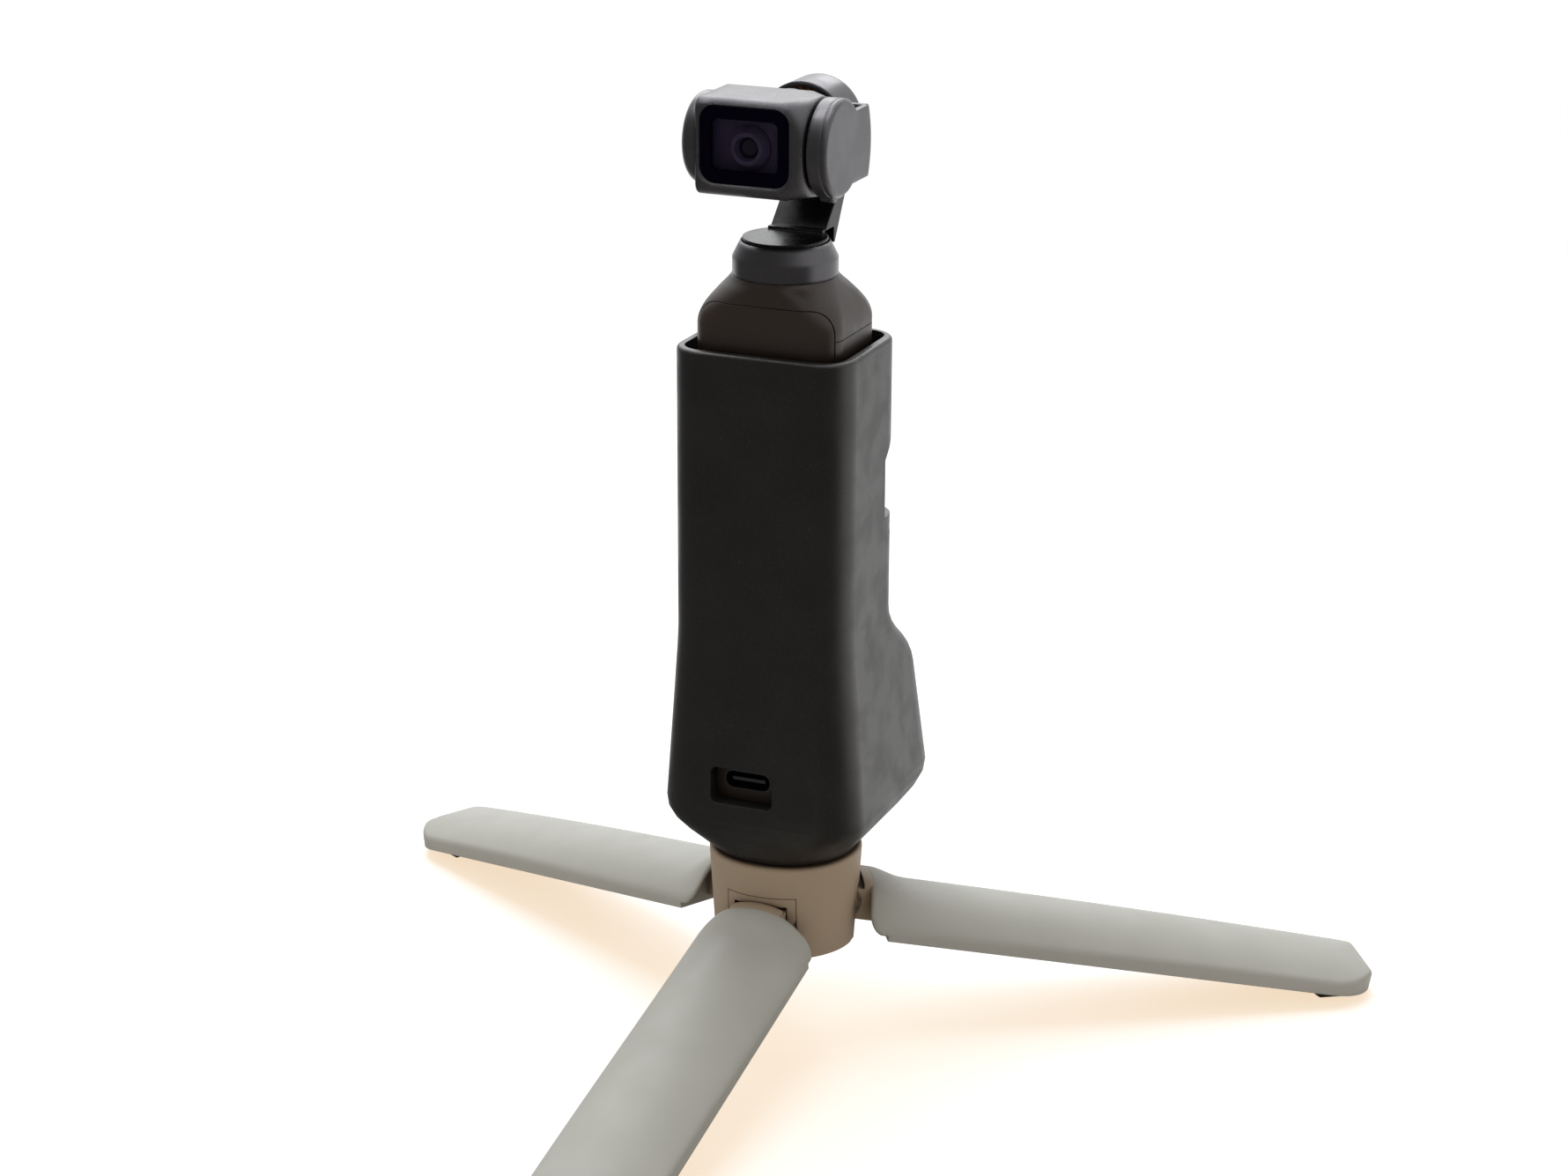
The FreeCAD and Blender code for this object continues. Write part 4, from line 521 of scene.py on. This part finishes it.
MOULDED = {
    "hub_plastic": dict(
        tones=(colour(0.43, 0.34, 0.245), colour(0.475, 0.38, 0.28)), roughness=0.50, gloss=0.35,
        grain=0.35 * MM, depth=0.012 * MM, rounding=0.35 * MM, wear=0.2, shade_share=1.0),
    "leg_plastic": dict(
        tones=(colour(0.435, 0.445, 0.415), colour(0.49, 0.495, 0.46)), roughness=0.56, gloss=0.35,
        grain=0.35 * MM, depth=0.010 * MM, rounding=0.6 * MM, wear=0.15, shade_share=0.4),
    "tread_rubber": dict(
        tones=(colour(0.05, 0.042, 0.036), colour(0.07, 0.058, 0.05)), roughness=0.7, gloss=0.3,
        grain=0.6 * MM, depth=0.05 * MM, rounding=0.3 * MM, wear=0.1),
    "grip_plastic": dict(
        tones=(colour(0.034, 0.024, 0.020), colour(0.041, 0.029, 0.024)), roughness=0.38, gloss=0.5,
        grain=0.25 * MM, depth=0.012 * MM, rounding=0.15 * MM, wear=0.15),
    "gimbal_metal": dict(GRAPHITE, rounding=1.0 * MM, shade_share=0.6),
    "housing_metal": dict(GRAPHITE, rounding=2.4 * MM, shade_share=0.4),
    # Painted shade: the yaw arm's graphite paint made near black, as its front lies in shade
    "arm_shaded_graphite": dict(
        tones=(colour(0.003, 0.003, 0.0035), colour(0.005, 0.005, 0.0055)), roughness=0.28, gloss=0.3,
        grain=0.2 * MM, depth=0.006 * MM, rounding=0.4 * MM, wear=0.3),
    "rotor_black": dict(
        tones=(colour(0.006, 0.006, 0.008), colour(0.010, 0.010, 0.012)), roughness=0.5, gloss=0.2,
        grain=0.3 * MM, depth=0.01 * MM, rounding=0.15 * MM, wear=0.1),
    "lens_black": dict(
        tones=(colour(0.046, 0.036, 0.088), colour(0.056, 0.044, 0.100)), roughness=0.5, gloss=0.3,
        grain=0.2 * MM, depth=0.004 * MM, rounding=0.05 * MM, wear=0.3, shade_share=0.0),
    "lens_trim": dict(
        tones=(colour(0.30, 0.26, 0.38), colour(0.34, 0.30, 0.42)), roughness=0.5, gloss=0.3,
        grain=0.2 * MM, depth=0.004 * MM, rounding=0.05 * MM, wear=0.1, shade_share=0.0),
    "baffle_black": dict(
        tones=(colour(0.040, 0.031, 0.080), colour(0.050, 0.039, 0.092)), roughness=0.6, gloss=0.2,
        grain=0.3 * MM, depth=0.01 * MM, rounding=0.1 * MM, wear=0.1, shade_share=0.0),
    "battery_wrap": dict(
        tones=(colour(0.05, 0.05, 0.06), colour(0.08, 0.08, 0.09)), roughness=0.3, gloss=0.5,
        grain=2.5 * MM, depth=0.08 * MM),
    "card_black": dict(
        tones=(colour(0.02, 0.02, 0.02), colour(0.03, 0.03, 0.03)), roughness=0.5, gloss=0.4,
        grain=0.3 * MM, depth=0.01 * MM),
    "display_black": dict(
        tones=(colour(0.008, 0.009, 0.012), colour(0.012, 0.013, 0.018)), roughness=0.2, gloss=0.4,
        grain=0.12 * MM, depth=0.002 * MM),
    "sensor": dict(
        tones=(colour(0.01, 0.03, 0.03), colour(0.03, 0.015, 0.04)), roughness=0.15, gloss=0.5,
        grain=0.1 * MM, depth=0.002 * MM),
}

FINISHES = {name: moulded(name, **look) for name, look in MOULDED.items()}
FINISHES.update({
    "button_black": marked_button("button_black", BUTTON_TONES, colour(0.10, 0.10, 0.10),
                                  middle_of("function_button"), radius=0.5 * MM),
    "button_red": marked_button("button_red", BUTTON_TONES, colour(0.42, 0.015, 0.012),
                                middle_of("record_button"), radius=1.3 * MM),
    "printed_plastic": printed_sleeve_finish(),
    "steel": turned_metal("steel", colour(0.52, 0.52, 0.53), roughness=0.3, axis=2),
    "port_steel": turned_metal("port_steel", colour(0.16, 0.16, 0.17), roughness=0.4, axis=1),
    "insert_brass": turned_metal("insert_brass", colour(0.72, 0.52, 0.22), roughness=0.3, axis=2),
    "board_green": board_finish(),
    "coil_copper": winding_finish(),
    "screen_glass": dark_glass("screen_glass", colour(0.004, 0.004, 0.005), gloss=0.4, alpha=0.92),
    "window_glass": window_glass(),
    "lens_glass": dark_glass("lens_glass", colour(0.006, 0.005, 0.012), gloss=0.5, alpha=1.0),
})

SLOT_OF = {row["node"]: row["material_slot"] for row in frame["record"]["subparts"]}
# The yaw arm takes a near-black copy of the graphite as painted shade; the housing takes graphite with
# softer edges
OWN_FINISH = {"yaw_arm": "arm_shaded_graphite", "camera_housing": "housing_metal"}
for name, node in frame["nodes"].items():
    for holder in node.material_slots:
        holder.material = FINISHES[OWN_FINISH.get(name, SLOT_OF[name])]


# Meshes from rows of points

SHARP_ANGLE = math.radians(40)
CORNER_STEPS = 8
SMALLEST_CORNER = 0.05 * MM

# Radius of the small flat face that closes a turned piece on its axis
POLE = 0.02 * MM


def surface(name, rows, closed):
    """Object from rows of points: each row is a closed loop, and closed joins the last row to the first.

    Otherwise the first and the last row are each closed by one face."""
    count, around = rows.shape[:2]
    here = np.arange(count * around).reshape(count, around)
    if closed:
        low, high = here, np.roll(here, -1, axis=0)
    else:
        low, high = here[:-1], here[1:]
    quads = np.stack([low, np.roll(low, -1, axis=1), np.roll(high, -1, axis=1), high], axis=-1)
    faces = quads.reshape(-1, 4).tolist()
    if not closed:
        faces += [here[0][::-1].tolist(), here[-1].tolist()]
    mesh = bpy.data.meshes.new(name)
    mesh.from_pydata(rows.reshape(-1, 3).tolist(), [], faces)
    shell = bmesh.new()
    shell.from_mesh(mesh)
    bmesh.ops.recalc_face_normals(shell, faces=shell.faces)
    shell.to_mesh(mesh)
    shell.free()
    mesh.shade_smooth()
    mesh.set_sharp_from_angle(angle=SHARP_ANGLE)
    thing = bpy.data.objects.new(name, mesh)
    bpy.context.scene.collection.objects.link(thing)
    return thing


def piece(name, rows, slot, body, closed=False, finish=None):
    """Surface that rides on a body and has its slot's finish, or one of its own."""
    thing = surface(name, rows, closed)
    thing.data.materials.append(FINISHES[finish or slot])
    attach(thing, body)
    return thing


def rounded_loop(width, height, corner):
    """Rounded rectangle: four corner centres plus corner * (cos, sin) of a quarter turn each."""
    angle = np.linspace(0, math.pi / 2, CORNER_STEPS)
    quarters = []
    for number, (right, up) in enumerate(((1, 1), (-1, 1), (-1, -1), (1, -1))):
        turn = angle + number * math.pi / 2
        across = right * (width / 2 - corner) + corner * np.cos(turn)
        along = up * (height / 2 - corner) + corner * np.sin(turn)
        quarters.append(np.stack([across, along], axis=-1))
    return np.concatenate(quarters)


def stacked_loops(width, height, corner, steps, middle):
    """Rows of rounded rectangles round a middle in X and Z; each step gives an inset and a depth in Y."""
    rows = []
    for inset, depth in steps:
        loop = rounded_loop(width - 2 * inset, height - 2 * inset, max(corner - inset, SMALLEST_CORNER))
        across, up = (loop + middle).T
        rows.append(np.stack([across, np.full(len(loop), depth), up], axis=-1))
    return np.array(rows)


def turned_rows(profile, middle, count):
    """Rows round a line along Y: radius * (cos, sin) from the middle at each radius and depth given."""
    angle = np.linspace(0, 2 * math.pi, count, endpoint=False)
    rows = []
    for radius, depth in profile:
        across = middle[0] + radius * np.cos(angle)
        up = middle[1] + radius * np.sin(angle)
        rows.append(np.stack([across, np.full(count, depth), up], axis=-1))
    return np.array(rows)


# Button caps

CAP_FLANGE = 0.8 * MM
CAP_RIM = 0.3 * MM
DISH_DEPTH = 0.22 * MM
DISH_RINGS = ((0.35, 0.19 * MM), (0.7, 0.06 * MM))
CAP_RIM_STEPS = 6
CAP_STEPS = 48


def make_button_cap(node):
    """Round cap with a rounded rim, a shallow dish and a flange behind the wall: radius and depth along Y.

    The rim is a quarter circle, and each ring of the dish has a share of the cap's radius and a depth."""
    low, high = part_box(node)
    wide = (high[0] - low[0]) / 2
    radius = wide - CAP_FLANGE
    top, foot = high[1], low[1]
    turn = np.linspace(0, math.pi / 2, CAP_RIM_STEPS)
    across = radius - CAP_RIM + CAP_RIM * np.sin(turn)
    along = top - CAP_RIM + CAP_RIM * np.cos(turn)
    profile = [(POLE, top - DISH_DEPTH)]
    profile += [(radius * share, top - depth) for share, depth in DISH_RINGS]
    profile += zip(across, along)
    profile += [(radius, foot + CAP_FLANGE), (wide, foot + CAP_FLANGE), (wide, foot), (POLE, foot)]
    cap = piece(node + "_cap", turned_rows(profile, middle_of(node), CAP_STEPS), SLOT_OF[node], node)
    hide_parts(node)


for button in ("record_button", "function_button"):
    make_button_cap(button)


# Cover glass, lens baffle and light ring: lengths in X and Z, and depths behind the glass in Y

PANE_CORNER = 3.0 * MM
PANE_EDGE = 0.35 * MM
PANE_EDGE_DEPTH = 0.6
PANE_EDGE_STEPS = 5
PANE_FACE_LOOP = 2.0 * MM
PANE_INNERMOST_HALF = 0.2 * MM
BAFFLE_INSET = 1.15 * MM
BAFFLE_CORNER = 2.0 * MM
BAFFLE_BEHIND = 1.6 * MM
BAFFLE_BEVEL = 0.4 * MM
BAFFLE_THICKNESS = 0.3 * MM
BAFFLE_FACE_LOOP = 4.7 * MM
RING_BEHIND = 2.4 * MM
RING_BORE = 1.30 * MM
RING_FACE = (1.38 * MM, 2.0 * MM)
RING_OUTSIDE = 2.15 * MM
RING_RISE = 0.25 * MM
RING_BEVEL = 0.05 * MM
RING_BACK = 0.5 * MM
RING_STEPS = 64


def make_window_pane(middle, width, height, front, back):
    """Cover glass whose edge is a quarter ellipse: edge * (1 - sin) in, and its depth * (1 - cos) back."""
    turn = np.linspace(0, math.pi / 2, PANE_EDGE_STEPS)
    insets = PANE_EDGE * (1 - np.sin(turn))
    depths = front + PANE_EDGE * (1 - np.cos(turn)) * PANE_EDGE_DEPTH
    innermost = height / 2 - PANE_INNERMOST_HALF
    steps = [(innermost, front), (PANE_FACE_LOOP, front), *zip(insets, depths),
             (0.0, back), (innermost, back)]
    rows = stacked_loops(width, height, PANE_CORNER, steps, middle)
    pane = piece("window_pane", rows, "window_glass", "camera_head")
    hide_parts("camera_window")


def make_lens_baffle(middle, width, height, back):
    """Flat plate round the lens with a bevelled rim: insets and depths of its loops."""
    face = back + BAFFLE_BEHIND
    rear = face + BAFFLE_THICKNESS
    steps = [(BAFFLE_FACE_LOOP, face), (BAFFLE_BEVEL, face), (0.0, face - BAFFLE_BEVEL), (0.0, rear),
             (BAFFLE_FACE_LOOP, rear)]
    rows = stacked_loops(width - 2 * BAFFLE_INSET, height - 2 * BAFFLE_INSET, BAFFLE_CORNER, steps, middle)
    piece("lens_baffle", rows, "lens_black", "camera_head", finish="baffle_black")


def make_lens_ring(back):
    """Light ring round the lens: radius and depth of its bore, its sloping face and its outside."""
    face = back + RING_BEHIND
    profile = [(RING_BORE, face + RING_BACK), (RING_BORE, face + RING_BEVEL),
               (RING_FACE[0], face), (RING_FACE[1], face - RING_RISE),
               (RING_OUTSIDE, face - RING_RISE), (RING_OUTSIDE, face + RING_BACK)]
    rows = turned_rows(profile, middle_of("lens_barrel"), RING_STEPS)
    piece("lens_ring", rows, "lens_black", "camera_head", closed=True, finish="lens_trim")


def make_window():
    """Pane, baffle and light ring, all placed by the solid's box."""
    low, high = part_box("camera_window")
    middle = middle_of("camera_window")
    width, height = high[0] - low[0], high[2] - low[2]
    make_window_pane(middle, width, height, low[1], high[1])
    make_lens_baffle(middle, width, height, high[1])
    make_lens_ring(high[1])


make_window()


# Mouth of the sleeve, with a gap round the grip

MOUTH_RIM = 1.7 * MM
MOUTH_DEPTH = 7 * MM
MOUTH_CORNER = 4.2 * MM
MOUTH_ABOVE = 2 * MM
TOP_SLICE = 3 * MM
MERGED_UNDER = 0.0001 * MM


def merged_copy(node):
    """Copy of a solid's mesh whose loose triangles are joined at their corners."""
    mesh = frame["nodes"][node].data.copy()
    shell = bmesh.new()
    shell.from_mesh(mesh)
    bmesh.ops.remove_doubles(shell, verts=shell.verts, dist=MERGED_UNDER)
    shell.to_mesh(mesh)
    shell.free()
    return mesh


def mouth_rows(mesh):
    """Straight well: the rounded outline of the mesh's top less the rim, at two heights."""
    points = np.zeros(len(mesh.vertices) * 3)
    mesh.vertices.foreach_get("co", points)
    points = points.reshape(-1, 3)
    top = points[:, 2].max()
    slice_points = points[points[:, 2] > top - TOP_SLICE, :2]
    low = slice_points.min(axis=0) + MOUTH_RIM
    high = slice_points.max(axis=0) - MOUTH_RIM
    outline = rounded_loop(*(high - low), MOUTH_CORNER) + (high + low) / 2
    heights = (top - MOUTH_DEPTH, top + MOUTH_ABOVE)
    return np.array([np.column_stack([outline, np.full(len(outline), z)]) for z in heights])


def make_sleeve_shell():
    """Copy of the printed sleeve whose mouth is cut wider by the well."""
    whole = merged_copy("case_sleeve")
    sleeve = bpy.data.objects.new("sleeve_shell", whole)
    bpy.context.scene.collection.objects.link(sleeve)
    well = surface("sleeve_well", mouth_rows(whole), closed=False)
    cut = sleeve.modifiers.new("mouth", "BOOLEAN")
    cut.operation = "DIFFERENCE"
    cut.solver = "EXACT"
    cut.object = well
    dressed = bpy.data.meshes.new_from_object(sleeve.evaluated_get(bpy.context.evaluated_depsgraph_get()))
    sleeve.modifiers.clear()
    sleeve.data = dressed
    bpy.data.objects.remove(well)
    dressed.materials.clear()
    dressed.materials.append(FINISHES["printed_plastic"])
    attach(sleeve, "tripod_and_grip")
    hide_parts("case_sleeve")


make_sleeve_shell()


# Tripod legs, each drawn along its own X from the pivot, in millimetres

LEG_ROOT = 4.4
LEG_TIP = 110.5
LEG_HALF = 11.8
LEG_CROWN = 3.5
LEG_BOW = 2.7
LEG_LOW = -4.4
LEG_SLOPE = math.radians(11)
BAR_START = 8.2
CROWN_RADIUS_ROOT = 14.85
CROWN_RADIUS_TIP = 26.0
ROOT_CORNER = 2.6
TIP_CORNER = 10.5
NOSE_ROUNDING = 4.5
EDGE_ROUNDING = 0.7
NECK_HALF = 5.15
NECK_START = 3.8
NECK_FOOT = 0.7
NECK_MIDWAY = 0.9
NECK_OVERLAP = 3.0
LIP_RISE = 1.5
LIP_FLAT = 1.7
LIP_END = 13.0
KNUCKLE = 3.2
PIN_BORE = 1.55
BORE_ARC = 85
WALL = 1.6
ROOF = 1.0
TREAD_SEAT = -3.0

# Distance between the two sections at a sudden change, and least height between top and underside
STEP = 0.01
THINNEST = 0.05

ROOT_SECTIONS = 9
MIDDLE_SECTIONS = 44
TIP_SECTIONS = 15
TIP_GAP = 1.0
POINTS_ACROSS = 45
BORE_POINTS = 15
NECK_OUTLINES = 21
KNUCKLE_STEPS = 40


def leg_height(x, y):
    """Crown - bow * share^2 - radius + sqrt(radius^2 - y^2), plus a lip that fades outward and sideways.

    Past the nose's start it is no higher than the nose, a quarter circle down to the tip."""
    share = np.clip((x - BAR_START) / (LEG_TIP - BAR_START), 0, 1)
    radius = CROWN_RADIUS_ROOT + (CROWN_RADIUS_TIP - CROWN_RADIUS_ROOT) * share ** 2
    height = LEG_CROWN - LEG_BOW * share ** 2 - radius + np.sqrt(radius ** 2 - y ** 2)
    along = np.clip((LIP_END - x) / (LIP_END - NECK_START - LIP_FLAT), 0, 1)
    aside = np.clip((LEG_HALF - np.abs(y)) / (LEG_HALF - NECK_HALF), 0, 1)
    height = height + LIP_RISE * along ** 2 * (3 - 2 * along) * aside ** 2 * (3 - 2 * aside)
    past = np.clip(x - (LEG_TIP - NOSE_ROUNDING), 0, NOSE_ROUNDING)
    nose = LEG_CROWN - LEG_BOW - NOSE_ROUNDING + np.sqrt(NOSE_ROUNDING ** 2 - past ** 2)
    return np.where(past > 0, np.minimum(height, nose), height)


def leg_half_width(x):
    """Half width less what the round corners take: corner - sqrt(corner^2 - depth^2) at either end."""
    root = np.clip(ROOT_CORNER - (x - LEG_ROOT), 0, ROOT_CORNER)
    tip = np.clip(x - (LEG_TIP - TIP_CORNER), 0, TIP_CORNER)
    return (LEG_HALF - ROOT_CORNER + np.sqrt(ROOT_CORNER ** 2 - root ** 2)
            - TIP_CORNER + np.sqrt(TIP_CORNER ** 2 - tip ** 2))


def leg_stations():
    """Each section's place along the leg and its underside: a thin roof, the full depth or the seat."""
    root = LEG_ROOT + ROOT_CORNER * (1 - np.cos(np.linspace(0, math.pi / 2, ROOT_SECTIONS)))
    tip = LEG_TIP - TIP_CORNER * (1 - np.sin(np.linspace(0, math.pi / 2, TIP_SECTIONS)))
    middle = np.linspace(BAR_START + 2 * WALL, LEG_TIP - TIP_CORNER - TIP_GAP, MIDDLE_SECTIONS)
    seat_start, seat_end = BAR_START + WALL, LEG_TIP - WALL
    stations = [(x, "roof") for x in (*root, BAR_START - STEP)]
    stations += [(x, "full") for x in (BAR_START, seat_start - STEP)]
    stations += [(x, "seat") for x in (seat_start, *middle)]
    stations += [(x, "seat" if x < seat_end else "full") for x in tip]
    return stations


def leg_rows():
    """Closed sections along the leg: the crowned top with rounded edges, then the underside back."""
    turn = np.linspace(-math.pi / 2, math.pi / 2, POINTS_ACROSS)
    rows = []
    for x, underside in leg_stations():
        half = leg_half_width(x)
        y = half * np.sin(turn)
        inside = np.minimum(half - np.abs(y), x - LEG_ROOT)
        lost = np.clip(EDGE_ROUNDING - inside, 0, EDGE_ROUNDING)
        top = leg_height(x, y) - EDGE_ROUNDING + np.sqrt(EDGE_ROUNDING ** 2 - lost ** 2)
        under = {
            "roof": leg_height(x, y) - ROOF,
            "full": np.full(len(y), LEG_LOW),
            "seat": np.where(np.abs(y) < half - WALL, TREAD_SEAT, LEG_LOW),
        }[underside]
        under = np.minimum(under, top - THINNEST)
        upper = np.stack([np.full(len(y), x), y, top], axis=-1)
        lower = np.stack([np.full(len(y), x), y, under], axis=-1)[::-1]
        rows.append(np.concatenate([upper, lower]))
    return np.array(rows)


def neck_rows():
    """Outlines across the arm between knuckle and bar: round the bore, out below, back over the lip."""
    lean = math.tan(LEG_SLOPE)
    bore_radius = (PIN_BORE + KNUCKLE) / 2
    turn = np.radians(np.linspace(BORE_ARC, -BORE_ARC, BORE_POINTS))
    bore = np.stack([bore_radius * np.cos(turn), bore_radius * np.sin(turn)], axis=-1)
    stations = np.array([NECK_FOOT, NECK_START - STEP, NECK_START, NECK_START + NECK_MIDWAY,
                         NECK_START + LIP_FLAT, LEG_ROOT + NECK_OVERLAP])
    below = np.stack([stations + lean * KNUCKLE, np.full(len(stations), -KNUCKLE)], axis=-1)
    rows = []
    for y in np.linspace(-NECK_HALF, NECK_HALF, NECK_OUTLINES):
        top = np.where(stations >= NECK_START, leg_height(stations, y), KNUCKLE)
        over = np.stack([stations - lean * top, top], axis=-1)[::-1]
        outline = np.concatenate([bore, below, over])
        rows.append(np.stack([outline[:, 0], np.full(len(outline), y), outline[:, 1]], axis=-1))
    return np.array(rows)


def knuckle_rows():
    """Ring round the hinge pin, turned from the four corners of its section."""
    section = ((PIN_BORE, -NECK_HALF), (KNUCKLE, -NECK_HALF), (KNUCKLE, NECK_HALF), (PIN_BORE, NECK_HALF))
    return turned_rows(section, (0, 0), KNUCKLE_STEPS)


def make_leg(letter):
    """One leg's shell at its hinge.

    Out is x * cos(slope) + z * sin(slope), and up is z * cos(slope) - x * sin(slope)."""
    joints = frame["record"]["behaviour"]["joints"]
    hinge = next(row for row in joints if row["name"] == "leg_%s_fold" % letter)
    across = np.array(hinge["axis"])
    outward = np.array([across[1], -across[0], 0.0])
    upward = np.array([0.0, 0.0, 1.0])

    def stand(rows):
        """Points in metres, from their places along, across and above the leg."""
        out = rows[..., 0] * math.cos(LEG_SLOPE) + rows[..., 2] * math.sin(LEG_SLOPE)
        up = rows[..., 2] * math.cos(LEG_SLOPE) - rows[..., 0] * math.sin(LEG_SLOPE)
        local = out[..., None] * outward + rows[..., 1, None] * across + up[..., None] * upward
        return np.array(hinge["pos_m"]) + local * MM

    body = "leg_" + letter
    bar = piece("leg_bar_" + letter, stand(leg_rows()), "leg_plastic", body)
    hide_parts("leg_shell_" + letter)
    # Painted shade: neck and knuckle are the leg's plastic but take the darker, warmer hub finish for the
    # shade where they meet the hub
    piece("leg_neck_" + letter, stand(neck_rows()), "leg_plastic", body, finish="hub_plastic")
    piece("leg_knuckle_" + letter, stand(knuckle_rows()), "leg_plastic", body,
          closed=True, finish="hub_plastic")


for letter in "abc":
    make_leg(letter)


# Floor, world and lamps

FLOOR_HALF = 6.0

# The backdrop stands behind the object, and in front of the lens only a share of its light is left
FRONT_SHARE = 0.13
BACKDROP_WAY = (0.2, 0.7, 0.7)
FLOOR_FADE = 0.09
WORLD_FADE = 0.45

SHADOW_FADE = (0.30, 0.75)
SHADOW_TONE = colour(0.87, 0.70, 0.52)
LIT_TONE = colour(0.33, 0.50, 0.68)
BOUNCE_TONE = colour(0.80, 0.76, 0.72)
FILL_TONE = colour(0.40, 0.37, 0.34)
LAMP_AIM = (0, 0, 0.08)


def backdrop_rays(tree):
    """Mask of the camera, glossy and clear rays, which see a white backdrop, and mask of the glossy ones."""
    rays = add(tree, "ShaderNodeLightPath").outputs
    seen = math_node(tree, "MAXIMUM", rays["Is Camera Ray"], rays["Is Glossy Ray"])
    return math_node(tree, "MAXIMUM", seen, rays["Is Transmission Ray"]), rays["Is Glossy Ray"]


def dim_front(tree, vector, fade):
    """Share of the white backdrop's light on this side: 0 in front of the lens, 1 towards the backdrop."""
    return stretch(tree, vector_node(tree, "DOT_PRODUCT", vector, BACKDROP_WAY)["Value"], 0.0, fade)


def make_floor():
    """Large pale floor that glows white away from the object and keeps the object's warm pale shadow.

    Near the object the glow is the shadow's tone, and the lamps add the rest up to white."""
    corners = [(x * FLOOR_HALF, y * FLOOR_HALF, 0) for x, y in ((-1, -1), (1, -1), (1, 1), (-1, 1))]
    mesh = bpy.data.meshes.new("floor")
    mesh.from_pydata(corners, [], [(0, 1, 2, 3)])
    floor = bpy.data.objects.new("floor", mesh)
    bpy.context.scene.collection.objects.link(floor)
    material = bpy.data.materials.new("floor")
    material.use_nodes = True
    tree = material.node_tree
    tree.nodes.clear()
    place = add(tree, "ShaderNodeTexCoord").outputs["Object"]
    seen, glossy = backdrop_rays(tree)
    front = math_node(tree, "SUBTRACT", 1.0, dim_front(tree, place, FLOOR_FADE))
    lost = math_node(tree, "MULTIPLY", math_node(tree, "MULTIPLY", front, glossy), 1 - FRONT_SHARE)
    near = stretch(tree, vector_node(tree, "LENGTH", place)["Value"], *SHADOW_FADE, 1.0, 0.0)
    lit = blend_colours(tree, near, BLACK, LIT_TONE)
    tint = blend_colours(tree, lost, blend_colours(tree, seen, BOUNCE_TONE, lit), BLACK)
    matte = add(tree, "ShaderNodeBsdfDiffuse", {"Color": tint})
    glow = add(tree, "ShaderNodeEmission", {"Color": blend_colours(tree, near, WHITE, SHADOW_TONE),
                                            "Strength": math_node(tree, "SUBTRACT", seen, lost)})
    total = add(tree, "ShaderNodeAddShader", {0: matte.outputs[0], 1: glow.outputs[0]})
    add(tree, "ShaderNodeOutputMaterial", {"Surface": total.outputs[0]})
    mesh.materials.append(material)


def make_world():
    """White to the camera and clear surfaces, dim in front for glossy ones, and a warm fill for others."""
    world = bpy.data.worlds.new("world")
    world.use_nodes = True
    bpy.context.scene.world = world
    tree = world.node_tree
    tree.nodes.clear()
    seen, glossy = backdrop_rays(tree)
    dim = dim_front(tree, add(tree, "ShaderNodeTexCoord").outputs["Generated"], WORLD_FADE)
    mirrored = blend_colours(tree, dim, scaled(WHITE, FRONT_SHARE), WHITE)
    white = blend_colours(tree, glossy, WHITE, mirrored)
    tint = blend_colours(tree, seen, FILL_TONE, white)
    background = add(tree, "ShaderNodeBackground", {"Color": tint, "Strength": 1.0})
    add(tree, "ShaderNodeOutputWorld", {"Surface": background.outputs[0]})


def make_lamp(name, place, size, power, tone):
    """Square soft lamp turned towards the object."""
    lamp = bpy.data.lights.new(name, "AREA")
    lamp.shape = "SQUARE"
    lamp.size = size
    lamp.energy = power
    lamp.color = tone
    holder = bpy.data.objects.new(name, lamp)
    turn = (Vector(LAMP_AIM) - Vector(place)).to_track_quat("-Z", "Y").to_matrix().to_4x4()
    holder.matrix_world = Matrix.Translation(Vector(place)) @ turn
    bpy.context.scene.collection.objects.link(holder)


make_camera()
make_floor()
make_world()
make_lamp("back_lamp", place=(-0.6, 1.3, 1.3), size=1.5, power=18, tone=(0.97, 0.99, 1.0))
make_lamp("top_lamp", place=(-0.2, 0.1, 1.5), size=0.9, power=10, tone=(1, 1, 1))
bpy.context.scene.view_settings.view_transform = "Standard"
